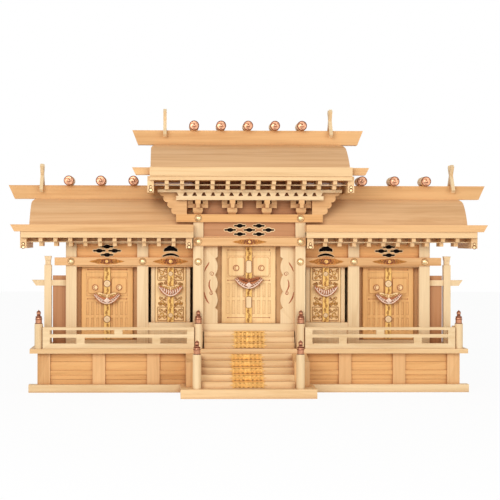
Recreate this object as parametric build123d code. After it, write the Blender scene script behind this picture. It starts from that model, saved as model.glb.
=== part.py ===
from build123d import *
import math
import os

# Five-door household shrine of plain cypress wood, with a raised centre roof and two lower side roofs.
# Millimetres. X runs along the front, -Y is the front, +Z is up. The origin is under the middle of the
# whole shrine, on the surface it stands on. A "reach" is a distance forward of the ridge line.

# Overall plan
STAIR_BASE_REACH = 238.0
CENTRE_EAVE_REACH = 163.0
LOW_EAVE_REACH = 118.0
RIDGE_Y = (STAIR_BASE_REACH - CENTRE_EAVE_REACH) / 2

# Posts and pillars
POST_REACH = 50.0
POST_D = 28.0
OUTER_POST_X = 400.0
OUTER_POST_W = 24.0
MID_POST_X = 239.0
MID_POST_W = 25.0
CENTRE_POST_X = 114.3
CENTRE_POST_W = 22.4
CENTRE_POST_D = 40.0
CENTRE_REACH = POST_REACH + CENTRE_POST_D
CENTRE_BODY_HALF = CENTRE_POST_X + CENTRE_POST_W / 2
CENTRE_CLEAR = CENTRE_POST_X - CENTRE_POST_W / 2
BACK_WALL_REACH = -96.0
BACK_WALL_T = 8.0
SIDE_WALL_T = 8.0
REAR_POST_D = 22.0

# Base, podium and deck
BASE_H = 17.5
PODIUM_H = 69.5
PODIUM_REACH = 98.0
BASE_REACH = PODIUM_REACH + 10.0
BASE_BACK = BACK_WALL_REACH - 17.0
BASE_LEDGE_D = 23.0
DECK_T = 10.0
DECK_REACH = PODIUM_REACH + 15.0
DECK_Z = BASE_H + PODIUM_H
DECK_TOP = DECK_Z + DECK_T
PODIUM_POST_W = 28.0
PODIUM_POST_D = 18.0
PODIUM_BACK = BACK_WALL_REACH - BACK_WALL_T
PODIUM_POST_X = (214.0, 335.0, OUTER_POST_X + 57.0)
BASE_HALF = PODIUM_POST_X[-1] + 33.0
DECK_HALF = PODIUM_POST_X[-1] + 30.0
PODIUM_PANEL_T = 8.0
PODIUM_PANEL_SET_BACK = 5.0
PODIUM_RAIL_Z = BASE_H + 21.0
PODIUM_RAIL_H = 9.5
PODIUM_RAIL_PROUD = 2.5
GROOVE_W = 1.2
GROOVE_DEPTH = 1.0

# Stairs; the lower flight is a loose unit that stands a little to the left
STAIR_OFFSET = -8.0
STAIR_BASE_HALF = CENTRE_CLEAR + 42.9
STAIR_BASE_H = 20.0
STAIR_HALF = CENTRE_CLEAR - 2.1
CHEEK_HALF = STAIR_HALF + 33.0
CHEEK_REACH = STAIR_BASE_REACH - 49.0
CHEEK_FRONT_Z = DECK_Z - 13.0
LOWER_STEPS = 5
LOWER_TREAD = 22.0
UPPER_STEPS = 3
UPPER_TREAD = 6.0

# Newel posts and railings
NEWEL_R = 9.2
LOWER_NEWEL_X = STAIR_HALF + 10.0
LOWER_NEWEL_REACH = STAIR_BASE_REACH - 13.0
LOWER_NEWEL_H = 74.0
INNER_NEWEL_X = CENTRE_POST_X
OUTER_NEWEL_X = PODIUM_POST_X[-1] + 11.0
DECK_NEWEL_REACH = DECK_REACH - 11.0
DECK_NEWEL_H = 55.6
FINIAL_R = 7.2
FINIAL_H = 31.0
RAIL_REACH = DECK_REACH - 3.0
RAIL_T = 9.0
RAIL_END_W = 16.0
BOTTOM_RAIL_TOP = DECK_TOP + 12.0
MID_RAIL_Z = BOTTOM_RAIL_TOP + 13.0
MID_RAIL_H = 7.5
TOP_RAIL_Z = MID_RAIL_Z + 17.0
TOP_RAIL_H = 6.0
STRUT_W = 18.0
SIDE_RAIL_BACK = 44.0

# Door bays of the low wings, from the deck up to the soffit
SILL_TOP = DECK_TOP + 15.0
OUTER_DOOR_H = 165.5
HEAD_Z = SILL_TOP + OUTER_DOOR_H
HEAD_LIP = 3.5
LINTEL_H = 18.0
LINTEL_Z = HEAD_Z + HEAD_LIP
LINTEL_TOP = LINTEL_Z + LINTEL_H
FACE_BOARD_T = 5.0
LINTEL_STUB = 25.0
SILL_REACH = POST_REACH - 2.0
FRIEZE_T = 6.0
FRIEZE_H = 30.0
FRIEZE_REACH = POST_REACH - 6.0
CLOUD_HALF = 14.0
CLOUD_Z = 13.0
CLOUD_H = 14.0
CHEVRON_HALF = 17.0
CHEVRON_Z = 3.0
CHEVRON_H = 8.0
PLATE_H = 14.5
PLATE_Z = LINTEL_TOP + FRIEZE_H
LOW_SOFFIT_Z = PLATE_Z + PLATE_H
NARROW_SILL_Z = DECK_TOP + 43.0
NARROW_SILL_TOP = NARROW_SILL_Z + 12.0
NARROW_LEAF_SPAN = 70.0
NARROW_STILE_W = 8.4
STILE_GAP = 0.8
OUTER_LEAF_SPAN = 117.5

# Centre bay, from the deck up to the head beam
CENTRE_SILL_REACH = CENTRE_REACH - 12.0
CENTRE_SILL_Z = DECK_TOP + 37.0
CENTRE_SILL_TOP = CENTRE_SILL_Z + 17.0
CENTRE_DOOR_H = 173.5
CENTRE_HEAD_Z = CENTRE_SILL_TOP + CENTRE_DOOR_H
CENTRE_HEAD_LIP = 1.5
CENTRE_LINTEL_Z = CENTRE_HEAD_Z + CENTRE_HEAD_LIP
CENTRE_LINTEL_TOP = CENTRE_LINTEL_Z + LINTEL_H
CENTRE_FRIEZE_H = 34.5
CENTRE_LEAF_SPAN = 123.0
SLEEVE_REACH = CENTRE_REACH - 14.0
SLEEVE_T = 6.0
SLEEVE_EDGE_X = CENTRE_CLEAR - 32.5
SLEEVE_CUSP = 5.7
SLEEVE_NOTCH = 5.0
SLEEVE_LOBES = 3
SLEEVE_LOBE_H = 36.7
SLEEVE_MARGIN = 27.7
BEAM_H = 17.5
BEAM_Z = CENTRE_LINTEL_TOP + CENTRE_FRIEZE_H
BEAM_TOP = BEAM_Z + BEAM_H
BEAM_HALF = 164.0
BEAM_PROUD = 4.0

# Door leaves
LEAF_T = 6.0
LEAF_GAP = 0.5
MEETING_GAP = 0.6
PIN_R = 1.5
PIN_LENGTH = 5.0
PIN_CLEARANCE = 0.05
OUTER_PIVOT_REACH = POST_REACH - 20.0
NARROW_PIVOT_REACH = POST_REACH - 14.0
CENTRE_PIVOT_REACH = POST_REACH + 8.0
LEAF_STILE = 12.0
POCKET_DEPTH = 1.6
PANEL_FOOT_SHARE = 0.6
STUD_SHARE = 0.72
SLAT_ROWS = ((0.12, 0.30), (0.34, 0.52))
SLATS = 3
STUD_R = 6.5
STUD_H = 2.5
ASTRAGAL_W = 14.0
ASTRAGAL_T = 3.0
ASTRAGAL_LIFT = 0.5
LOCK_T = 7.0
LOCK_H = 25.0
STOP_T = 6.0
STOP_LAP = 4.0
STOP_GAP = 0.5

# Side screens
SCREEN_POST_X = OUTER_POST_X + 53.0
SCREEN_POST_W = 16.0
SCREEN_REACH = POST_REACH - 7.0
SCREEN_TOP = LINTEL_TOP + 3.0
SCREEN_RAIL_Z = DECK_TOP + 138.0
SCREEN_RAIL_H = 13.0
SCREEN_RAIL_END_X = SCREEN_POST_X + 36.0
SCREEN_RAIL_SLANT = 9.0
SCREEN_CAP_H = 10.0
SCREEN_CAP_INSET = 2.0

# Roof details shared by the three roofs
ROOF_T = 12.0
ROOF_BULGE_OUT = 5.4
ROOF_BULGE_UP = 7.2
ROOF_CORNER_R = 11.0
PLANK_D = 20.0
ROOF_FOOT = 14.0
FASCIA_T = 8.0
FASCIA_SET_BACK = 3.0
SOFFIT_T = 3.5
RAFTER = 8.5
BATTEN_T = 2.0
BATTEN_D = 6.0
UPPER_RAFTER_SET_BACK = 8.0
LOWER_RAFTER_SET_BACK = 27.0
END_BOARD_T = 14.0
END_BOARD_RIDGE_GAP = 15.0
RIDGE_T = 26.0
LOG_R = 11.3
LOG_LENGTH = 54.0
LOG_SEAT = 1.0
LOG_CAP_T = 2.0
FORK_T = 7.5
FORK_W = 9.0
FORK_ANGLE = 52.0
FORK_RISE = 46.0
FORK_FOOT = 13.0
GABLE_T = 8.0
GABLE_INSET = 12.0

# Low roofs, from the soffit up to the ridge
LOW_ROOF_INNER = CENTRE_BODY_HALF
LOW_SLOPE_REACH = LOW_EAVE_REACH - 34.0
LOW_FASCIA_H = 13.5
LOW_PLANK_H = 15.6
LOW_ROOF_H = 59.4
LOW_RIDGE_H = 31.0
LOW_PLANK_Z = LOW_SOFFIT_Z + LOW_FASCIA_H
LOW_EAVE_Z = LOW_PLANK_Z + LOW_PLANK_H
LOW_ROOF_TOP = LOW_EAVE_Z + LOW_ROOF_H
LOW_RIDGE_TOP = LOW_ROOF_TOP + LOW_RIDGE_H
LOW_END_BOARD_X = OUTER_POST_X + 95.0
LOW_INNER_BOARD_X = LOW_ROOF_INNER + 2.5
LOW_END_BOARD_Z = LOW_SOFFIT_Z - 23.5
LOW_END_BOARD_BACK = -48.0
LOW_ROOF_HALF = LOW_END_BOARD_X - 4.0
LOW_FASCIA_HALF = LOW_END_BOARD_X + 12.0
LOW_PLANK_FOOT_HALF = LOW_FASCIA_HALF + 14.0
LOW_PLANK_TOP_HALF = LOW_PLANK_FOOT_HALF + 9.0
LOW_RIDGE_FOOT_HALF = LOW_ROOF_HALF + 40.0
LOW_RIDGE_TOP_HALF = LOW_RIDGE_FOOT_HALF + 14.0
LOW_LOG_X = (261.0, 335.0, 407.5)
LOW_FINIAL_X = LOW_ROOF_HALF - 21.5
LOW_RAFTERS = 10
LOW_RAFTER_FIRST = 169.5
LOW_RAFTER_LAST = LOW_END_BOARD_X - 31.2

# Bracket sets under the centre eave
BRACKET_PITCH = 77.0
BRACKET_COUNT = 4
BEARING_W = 22.0
BEARING_H = 14.5
BEARING_SEAT = 26.0
BEARING_TAPER = 0.66
BEARING_NECK = 0.45
ARM_H = 9.0
ARM_T = 8.0
ARM_LENGTH = 46.0
BLOCK_W = 12.0
BLOCK_D = 11.5
BLOCK_H = 8.0
BRACKET_STEP = 24.0
PURLIN_H = 6.0
PURLIN_T = 12.0
PURLIN_HALF = 205.0
CORBEL_SCALLOPS = 4
CORBEL_SWELL = 0.35
CORBEL_HALF = 200.0
CORBEL_T = 9.0
CORBEL_GAP = 1.5
TIE_BLOCK_PITCH = 20.5
TIE_BLOCKS = 8
TIE_BLOCK_FOOT = 9.6
TIE_BLOCK_HEAD = 16.8

# Centre roof, from the bracket sets up to the ridge
CENTRE_SLOPE_REACH = CENTRE_EAVE_REACH - 33.0
PURLIN_Z = BEAM_TOP + BEARING_H + 2 * (ARM_H + BLOCK_H)
RAFTER_SEAT_Z = PURLIN_Z + PURLIN_H
CENTRE_SOFFIT_Z = RAFTER_SEAT_Z + 2 * RAFTER + BATTEN_T
CENTRE_THIN_FASCIA_H = 9.0
CENTRE_FASCIA_H = 19.5
CENTRE_PLANK_H = 16.0
CENTRE_ROOF_H = 58.0
CENTRE_RIDGE_H = 33.0
CENTRE_FASCIA_Z = CENTRE_SOFFIT_Z + CENTRE_THIN_FASCIA_H
CENTRE_EAVE_Z = CENTRE_FASCIA_Z + CENTRE_FASCIA_H
CENTRE_PLANK_Z = CENTRE_EAVE_Z - CENTRE_PLANK_H
CENTRE_ROOF_TOP = CENTRE_EAVE_Z + CENTRE_ROOF_H
CENTRE_RIDGE_TOP = CENTRE_ROOF_TOP + CENTRE_RIDGE_H
CENTRE_END_BOARD_X = PURLIN_HALF + 8.0
CENTRE_END_BOARD_Z = CENTRE_SOFFIT_Z - 26.5
CENTRE_ROOF_HALF = CENTRE_END_BOARD_X + 7.6
CENTRE_FASCIA_HALF = CENTRE_END_BOARD_X + 9.0
CENTRE_PLANK_FOOT_HALF = CENTRE_FASCIA_HALF + 31.0
CENTRE_PLANK_TOP_HALF = CENTRE_PLANK_FOOT_HALF + 8.0
CENTRE_RIDGE_FOOT_HALF = CENTRE_ROOF_HALF + 30.4
CENTRE_RIDGE_TOP_HALF = CENTRE_RIDGE_FOOT_HALF + 13.0
CENTRE_LOG_PITCH = 61.5
CENTRE_FINIAL_X = CENTRE_ROOF_HALF - 31.1
CENTRE_RAFTERS = 6
CENTRE_RAFTER_PITCH = 33.6

NAIL_COVER_R = 7.0
NAIL_COVER_H = 3.0


def at(reach):
    """The Y of a plane that lies this far forward of the ridge line."""
    return RIDGE_Y - reach


def block(x0, x1, reach_front, reach_back, z0, z1):
    """A square-edged board or post between two X, two reaches and two heights."""
    size = Box(x1 - x0, reach_front - reach_back, z1 - z0)
    return Pos((x0 + x1) / 2, at((reach_front + reach_back) / 2), (z0 + z1) / 2) * size


def both_sides(shapes):
    """Pieces on the right-hand side, with their mirror images on the left."""
    shapes = list(shapes)
    return shapes + [shape.mirror(Plane.YZ) for shape in shapes]


def front_and_back(shape):
    """A piece of a front slope, with its mirror image on the back slope."""
    return [shape, shape.mirror(Plane.XZ.offset(-RIDGE_Y))]


def save(name, shapes):
    solids = [solid for shape in shapes for solid in shape.solids()]
    export_step(Compound(solids), f"parts/{name}.step")


def prism_x(points, x0, x1):
    """A board of constant section: (reach, z) corners, run from x0 to x1."""
    corners = [(at(reach), z) for reach, z in points]
    face = Plane.YZ * Polygon(*corners, align=None)
    return Pos(x0, 0, 0) * extrude(face, amount=x1 - x0, dir=(1, 0, 0))


def prism_y(points, reach_front, reach_back):
    """A board of constant section: (x, z) corners, run from front to back."""
    face = Plane.XZ * Polygon(*points, align=None)
    return Pos(0, at(reach_back), 0) * extrude(face, amount=reach_front - reach_back, dir=(0, -1, 0))


# Base, podium and stairs

def base_board():
    """The board under the podium, with a ledge that runs past it at the front corners."""
    side = PODIUM_POST_X[-1] + PODIUM_POST_W / 2
    ledge_back = BASE_REACH - BASE_LEDGE_D
    ledge = block(-BASE_HALF, BASE_HALF, BASE_REACH, ledge_back, 0, BASE_H)
    return ledge + block(-side, side, ledge_back, BASE_BACK, 0, BASE_H)


def stair_base():
    x0 = STAIR_OFFSET - STAIR_BASE_HALF
    x1 = STAIR_OFFSET + STAIR_BASE_HALF
    return block(x0, x1, STAIR_BASE_REACH, BASE_REACH, 0, STAIR_BASE_H)


def podium_posts():
    right = []
    for x in PODIUM_POST_X:
        left_edge = x - PODIUM_POST_W / 2
        right_edge = x + PODIUM_POST_W / 2
        right.append(block(left_edge, right_edge, PODIUM_REACH, PODIUM_REACH - PODIUM_POST_D, BASE_H, DECK_Z))
        right.append(block(left_edge, right_edge, PODIUM_BACK + PODIUM_POST_D, PODIUM_BACK, BASE_H, DECK_Z))
    return both_sides(right)


def panel_board(width):
    """A boarded panel, its outer face at Y=0, with a proud middle rail between two grooved fields."""
    board = Pos(0, PODIUM_PANEL_T / 2, (BASE_H + DECK_Z) / 2) * Box(width, PODIUM_PANEL_T, DECK_Z - BASE_H)
    rail_top = PODIUM_RAIL_Z + PODIUM_RAIL_H
    for z in ((BASE_H + PODIUM_RAIL_Z) / 2, (rail_top + DECK_Z) / 2):
        board -= Pos(0, 0, z) * Box(width, 2 * GROOVE_DEPTH, GROOVE_W)
    rail = Box(width, PODIUM_RAIL_PROUD, PODIUM_RAIL_H)
    return board + Pos(0, -PODIUM_RAIL_PROUD / 2, PODIUM_RAIL_Z + PODIUM_RAIL_H / 2) * rail


def podium_panels():
    """The panels between the podium posts, on all four sides."""
    front = PODIUM_REACH - PODIUM_PANEL_SET_BACK
    back = PODIUM_BACK + PODIUM_PANEL_SET_BACK
    inner, middle, outer = PODIUM_POST_X
    right = []
    for x0, x1 in ((inner, middle), (middle, outer)):
        board = panel_board(x1 - x0 - PODIUM_POST_W)
        right.append(Pos((x0 + x1) / 2, at(front), 0) * board)
        right.append(Pos((x0 + x1) / 2, at(back), 0) * Rot(0, 0, 180) * board)
    side_x = outer + PODIUM_POST_W / 2 - PODIUM_PANEL_SET_BACK
    side_front = PODIUM_REACH - PODIUM_POST_D
    side_back = PODIUM_BACK + PODIUM_POST_D
    side = panel_board(side_front - side_back)
    right.append(Pos(side_x, at((side_front + side_back) / 2), 0) * Rot(0, 0, 90) * side)
    centre = panel_board(2 * inner - PODIUM_POST_W)
    return both_sides(right) + [Pos(0, at(front), 0) * centre, Pos(0, at(back), 0) * Rot(0, 0, 180) * centre]


def deck_board():
    return block(-DECK_HALF, DECK_HALF, DECK_REACH, BASE_BACK, DECK_Z, DECK_TOP)


def steps():
    """Two flights of solid treads, one below the deck and one up to the centre sill."""
    treads = []
    rise = (DECK_Z - STAIR_BASE_H) / LOWER_STEPS
    back = PODIUM_REACH
    for i in range(LOWER_STEPS):
        front = DECK_REACH + LOWER_TREAD * (LOWER_STEPS - i) - LOWER_TREAD / 2
        z = STAIR_BASE_H + rise * i
        treads.append(block(STAIR_OFFSET - STAIR_HALF, STAIR_OFFSET + STAIR_HALF, front, back, z, z + rise))
    rise = (CENTRE_SILL_Z - DECK_TOP) / UPPER_STEPS
    back = POST_REACH - POST_D
    for i in range(UPPER_STEPS):
        front = CENTRE_SILL_REACH + UPPER_TREAD * (UPPER_STEPS - i)
        z = DECK_TOP + rise * i
        treads.append(block(-STAIR_HALF, STAIR_HALF, front, back, z, z + rise))
    return treads


def stair_cheeks():
    back = PODIUM_REACH - PODIUM_PANEL_SET_BACK + PODIUM_RAIL_PROUD
    section = [(CHEEK_REACH, STAIR_BASE_H), (CHEEK_REACH, CHEEK_FRONT_Z), (DECK_REACH, DECK_Z),
               (back, DECK_Z), (back, BASE_H), (BASE_REACH, BASE_H), (BASE_REACH, STAIR_BASE_H)]
    cheek = prism_x(section, STAIR_HALF, CHEEK_HALF)
    return [Pos(STAIR_OFFSET, 0, 0) * shape for shape in both_sides([cheek])]


# Railings

def newel_places():
    """Each newel post's X, its reach, foot and height."""
    places = []
    for side in (-1, 1):
        places.append((STAIR_OFFSET + side * LOWER_NEWEL_X, LOWER_NEWEL_REACH, STAIR_BASE_H, LOWER_NEWEL_H))
        places.append((side * INNER_NEWEL_X, DECK_NEWEL_REACH, DECK_TOP, DECK_NEWEL_H))
        places.append((side * OUTER_NEWEL_X, DECK_NEWEL_REACH, DECK_TOP, DECK_NEWEL_H))
    return places


def newel_posts():
    posts = []
    for x, reach, foot, height in newel_places():
        post = Cylinder(NEWEL_R, height, align=(Align.CENTER, Align.CENTER, Align.MIN))
        posts.append(Pos(x, at(reach), foot) * post)
    return posts


def finial():
    """A lotus-bud cap: a bell, a narrow neck and an onion-shaped bud, turned as one piece."""
    r = FINIAL_R
    h = FINIAL_H
    outline = Polyline((0, 0), (r, 0), (r, 0.32 * h))
    shoulder = Spline((r, 0.32 * h), (0.82 * r, 0.5 * h), (0.45 * r, 0.6 * h))
    neck = Line((0.45 * r, 0.6 * h), (0.45 * r, 0.64 * h))
    bud = Spline((0.45 * r, 0.64 * h), (0.66 * r, 0.77 * h), (0.3 * r, 0.92 * h), (0, h))
    axis = Line((0, h), (0, 0))
    profile = make_face(outline + shoulder + neck + bud + axis)
    return revolve(Plane.XZ * profile, Axis.Z)


def newel_finials():
    cap = finial()
    return [Pos(x, at(reach), foot + height) * cap for x, reach, foot, height in newel_places()]


def rail_frame(length):
    """Three rails with end posts and struts, along +X from 0, its front face at Y=0."""
    top = TOP_RAIL_Z + TOP_RAIL_H

    def bar(x0, x1, z0, z1):
        return Pos((x0 + x1) / 2, RAIL_T / 2, (z0 + z1) / 2) * Box(x1 - x0, RAIL_T, z1 - z0)

    frame = bar(0, RAIL_END_W, DECK_TOP, top) + bar(length - RAIL_END_W, length, DECK_TOP, top)
    frame += bar(RAIL_END_W, length - RAIL_END_W, DECK_TOP, BOTTOM_RAIL_TOP)
    frame += bar(RAIL_END_W, length - RAIL_END_W, MID_RAIL_Z, MID_RAIL_Z + MID_RAIL_H)
    frame += bar(RAIL_END_W, length - RAIL_END_W, TOP_RAIL_Z, top)
    return frame, bar


def front_railing():
    x0 = INNER_NEWEL_X + NEWEL_R
    x1 = OUTER_NEWEL_X - NEWEL_R
    length = x1 - x0
    frame, bar = rail_frame(length)
    for share in (0.25, 0.75):
        middle = length * share
        frame += bar(middle - STRUT_W / 2, middle + STRUT_W / 2, BOTTOM_RAIL_TOP, MID_RAIL_Z)
    middle = length / 2
    frame += bar(middle - STRUT_W / 2, middle + STRUT_W / 2, MID_RAIL_Z + MID_RAIL_H, TOP_RAIL_Z)
    return Pos(x0, at(RAIL_REACH), 0) * frame


def side_railing():
    """The short railing along the deck's end, from the corner newel to the side screen."""
    length = DECK_NEWEL_REACH - NEWEL_R - SIDE_RAIL_BACK
    frame, bar = rail_frame(length)
    place = Pos(OUTER_NEWEL_X + RAIL_T / 2, at(DECK_NEWEL_REACH - NEWEL_R), 0) * Rot(0, 0, 90)
    return place * frame


def railings():
    return both_sides([front_railing(), side_railing()])


# Walls, posts and beams

def wall_posts():
    right = []
    places = ((OUTER_POST_X, OUTER_POST_W), (MID_POST_X, MID_POST_W), (CENTRE_POST_X, CENTRE_POST_W))
    for x, width in places:
        x0 = x - width / 2
        right.append(block(x0, x0 + width, POST_REACH, POST_REACH - POST_D, DECK_TOP, LOW_SOFFIT_Z))
    rear = BACK_WALL_REACH + REAR_POST_D
    x0 = OUTER_POST_X - OUTER_POST_W / 2
    right.append(block(x0, x0 + OUTER_POST_W, rear, BACK_WALL_REACH, DECK_TOP, LOW_SOFFIT_Z))
    return both_sides(right)


def centre_pillars():
    half = CENTRE_POST_W / 2
    x0 = CENTRE_POST_X - half
    x1 = CENTRE_POST_X + half
    front = block(x0, x1, CENTRE_REACH, CENTRE_REACH - CENTRE_POST_D, DECK_TOP, BEAM_Z)
    rear_front = BACK_WALL_REACH + REAR_POST_D
    rear = block(x0, x1, rear_front, BACK_WALL_REACH, DECK_TOP, CENTRE_SOFFIT_Z)
    return both_sides([front, rear])


def pin_hole(x, reach, z):
    radius = PIN_R + PIN_CLEARANCE
    return Pos(x, at(reach), z) * Cylinder(radius, 2 * (PIN_LENGTH + 1))


def leaf_pairs():
    """Each pair of doors on the right and in the middle: name, centre X, span, reach, foot and head."""
    outer_x = (OUTER_POST_X - OUTER_POST_W / 2 + MID_POST_X + MID_POST_W / 2) / 2
    narrow_x = (MID_POST_X - MID_POST_W / 2 + CENTRE_BODY_HALF) / 2
    return (("outer", outer_x, OUTER_LEAF_SPAN, OUTER_PIVOT_REACH, SILL_TOP, HEAD_Z),
            ("narrow", narrow_x, NARROW_LEAF_SPAN, NARROW_PIVOT_REACH, NARROW_SILL_TOP, HEAD_Z),
            ("centre", 0.0, CENTRE_LEAF_SPAN, CENTRE_PIVOT_REACH, CENTRE_SILL_TOP, CENTRE_HEAD_Z))


def pivots(pair):
    """The X of the two pivot pins of a pair."""
    name, x, span, reach, foot, head = pair
    arm = span / 2 - LEAF_T / 2
    return x - arm, x + arm


def sills():
    outer, narrow, centre = leaf_pairs()
    back = POST_REACH - POST_D
    x0 = MID_POST_X + MID_POST_W / 2
    x1 = OUTER_POST_X - OUTER_POST_W / 2
    low = block(x0, x1, SILL_REACH, back, DECK_TOP, SILL_TOP)
    for x in pivots(outer):
        low -= pin_hole(x, OUTER_PIVOT_REACH, SILL_TOP)
    x0 = CENTRE_BODY_HALF
    x1 = MID_POST_X - MID_POST_W / 2
    high = block(x0, x1, SILL_REACH, back, NARROW_SILL_Z, NARROW_SILL_TOP)
    for x in pivots(narrow):
        high -= pin_hole(x, NARROW_PIVOT_REACH, NARROW_SILL_TOP)
    middle = block(-CENTRE_CLEAR, CENTRE_CLEAR, CENTRE_SILL_REACH, back, CENTRE_SILL_Z, CENTRE_SILL_TOP)
    for x in pivots(centre):
        middle -= pin_hole(x, CENTRE_PIVOT_REACH, CENTRE_SILL_TOP)
    return both_sides([low, high]) + [middle]


def lintels():
    """Head beams between the posts, with a face board that runs across the fronts of the posts."""
    outer, narrow, centre = leaf_pairs()
    back = POST_REACH - POST_D
    spans = ((MID_POST_X + MID_POST_W / 2, OUTER_POST_X - OUTER_POST_W / 2),
             (CENTRE_BODY_HALF, MID_POST_X - MID_POST_W / 2))
    end = OUTER_POST_X + OUTER_POST_W / 2 + LINTEL_STUB
    wing = block(CENTRE_BODY_HALF, end, POST_REACH + FACE_BOARD_T, POST_REACH, LINTEL_Z, LINTEL_TOP)
    for x0, x1 in spans:
        wing += block(x0, x1, POST_REACH, back, HEAD_Z, LINTEL_TOP)
    for pair in (outer, narrow):
        for x in pivots(pair):
            wing -= pin_hole(x, pair[3], HEAD_Z)
    middle = block(-CENTRE_CLEAR, CENTRE_CLEAR, CENTRE_REACH, POST_REACH - STOP_T, CENTRE_HEAD_Z,
                   CENTRE_LINTEL_TOP)
    middle += block(-CENTRE_BODY_HALF, CENTRE_BODY_HALF, CENTRE_REACH + FACE_BOARD_T, CENTRE_REACH,
                    CENTRE_LINTEL_Z, CENTRE_LINTEL_TOP)
    for x in pivots(centre):
        middle -= pin_hole(x, CENTRE_PIVOT_REACH, CENTRE_HEAD_Z)
    return both_sides([wing]) + [middle]


def door_stops():
    """Strips behind the outer edges of the leaves, which close the gaps beside them."""
    outer, narrow, centre = leaf_pairs()
    right = []
    front = OUTER_PIVOT_REACH - LEAF_T / 2 - STOP_GAP
    inner_edge = MID_POST_X + MID_POST_W / 2
    outer_edge = OUTER_POST_X - OUTER_POST_W / 2
    lap = OUTER_LEAF_SPAN / 2 - STOP_LAP
    back = POST_REACH - POST_D
    right.append(block(inner_edge, outer[1] - lap, front, back, SILL_TOP, HEAD_Z))
    right.append(block(outer[1] + lap, outer_edge, front, back, SILL_TOP, HEAD_Z))
    front = CENTRE_PIVOT_REACH - LEAF_T / 2 - STOP_GAP
    lap = CENTRE_LEAF_SPAN / 2 - STOP_LAP
    right.append(block(lap, CENTRE_CLEAR, front, front - STOP_T, CENTRE_SILL_TOP, CENTRE_HEAD_Z))
    return both_sides(right)


def narrow_bay_boards():
    """The wall board below each narrow pair of doors and the stiles beside it."""
    outer, narrow, centre = leaf_pairs()
    below = block(CENTRE_BODY_HALF, MID_POST_X - MID_POST_W / 2, FRIEZE_REACH, FRIEZE_REACH - FRIEZE_T,
                  DECK_TOP, NARROW_SILL_Z)
    inner = NARROW_LEAF_SPAN / 2 + STILE_GAP
    front = NARROW_PIVOT_REACH + 1.0
    right = [below]
    for side in (-1, 1):
        edges = sorted((narrow[1] + side * inner, narrow[1] + side * (inner + NARROW_STILE_W)))
        right.append(block(edges[0], edges[1], front, front - LEAF_T, NARROW_SILL_TOP, HEAD_Z))
    return both_sides(right)


def cut_through(board, face):
    """A hole of the given outline, right through a board that faces the front."""
    return board - extrude(face, amount=1000.0, both=True)


def cloud(x, z):
    """The outline of the pierced cloud of a narrow bay, its flat foot at this height."""
    half = CLOUD_HALF
    cheek_z = z + 0.5 * CLOUD_H
    neck_z = z + 0.55 * CLOUD_H
    foot = Line((x + half, z), (x - half, z))
    left = ThreePointArc((x - half, z), (x - 0.95 * half, cheek_z), (x - 0.5 * half, neck_z))
    crown = ThreePointArc((x - 0.5 * half, neck_z), (x, z + CLOUD_H), (x + 0.5 * half, neck_z))
    right = ThreePointArc((x + 0.5 * half, neck_z), (x + 0.95 * half, cheek_z), (x + half, z))
    return Plane.XZ * make_face(foot + left + crown + right)


def chevron(x, z):
    """The outline of the pierced bow under the cloud."""
    half = CHEVRON_HALF
    upper = ThreePointArc((x - half, z), (x, z + CHEVRON_H), (x + half, z))
    lower = ThreePointArc((x + half, z), (x, z + CHEVRON_H / 2), (x - half, z))
    return Plane.XZ * make_face(upper + lower)


def frieze_panels():
    """The panels above the lintels, pierced over the narrow bays."""
    narrow = leaf_pairs()[1]
    back = FRIEZE_REACH - FRIEZE_T
    x0 = MID_POST_X + MID_POST_W / 2
    x1 = OUTER_POST_X - OUTER_POST_W / 2
    wide = block(x0, x1, FRIEZE_REACH, back, LINTEL_TOP, PLATE_Z)
    short = block(CENTRE_BODY_HALF, MID_POST_X - MID_POST_W / 2, FRIEZE_REACH, back, LINTEL_TOP, PLATE_Z)
    short = cut_through(short, cloud(narrow[1], LINTEL_TOP + CLOUD_Z))
    short = cut_through(short, chevron(narrow[1], LINTEL_TOP + CHEVRON_Z))
    return both_sides([wide, short])


def centre_frieze():
    """The panel above the centre lintel."""
    front = CENTRE_REACH - FACE_BOARD_T
    return block(-CENTRE_CLEAR, CENTRE_CLEAR, front, front - FRIEZE_T, CENTRE_LINTEL_TOP, BEAM_Z)


def sleeve_boards():
    """The carved boards beside the centre doors, with three lobes along the inner edge."""
    x = SLEEVE_EDGE_X
    cusp = x + SLEEVE_CUSP
    z = CENTRE_HEAD_Z - SLEEVE_MARGIN - SLEEVE_LOBES * SLEEVE_LOBE_H
    edge = Polyline((x, CENTRE_SILL_TOP), (x, z - SLEEVE_NOTCH), (cusp, z))
    for i in range(SLEEVE_LOBES):
        edge += ThreePointArc((cusp, z), (x, z + SLEEVE_LOBE_H / 2), (cusp, z + SLEEVE_LOBE_H))
        z += SLEEVE_LOBE_H
    edge += Polyline((cusp, z), (x, z + SLEEVE_NOTCH), (x, CENTRE_HEAD_Z))
    rest = Polyline((x, CENTRE_HEAD_Z), (CENTRE_CLEAR, CENTRE_HEAD_Z), (CENTRE_CLEAR, CENTRE_SILL_TOP),
                    (x, CENTRE_SILL_TOP))
    face = Plane.XZ * make_face(edge + rest)
    board = Pos(0, at(SLEEVE_REACH - SLEEVE_T), 0) * extrude(face, amount=SLEEVE_T, dir=(0, -1, 0))
    return both_sides([board])


def back_wall():
    """The boards that close the back, behind the rear posts."""
    half = OUTER_POST_X + OUTER_POST_W / 2
    return block(-half, half, BACK_WALL_REACH, BACK_WALL_REACH - BACK_WALL_T, DECK_TOP, LOW_SOFFIT_Z)


def side_walls():
    x1 = OUTER_POST_X + SIDE_WALL_T / 2
    front = POST_REACH - POST_D
    rear = BACK_WALL_REACH + REAR_POST_D
    return both_sides([block(x1 - SIDE_WALL_T, x1, front, rear, DECK_TOP, LOW_SOFFIT_Z)])


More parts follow.
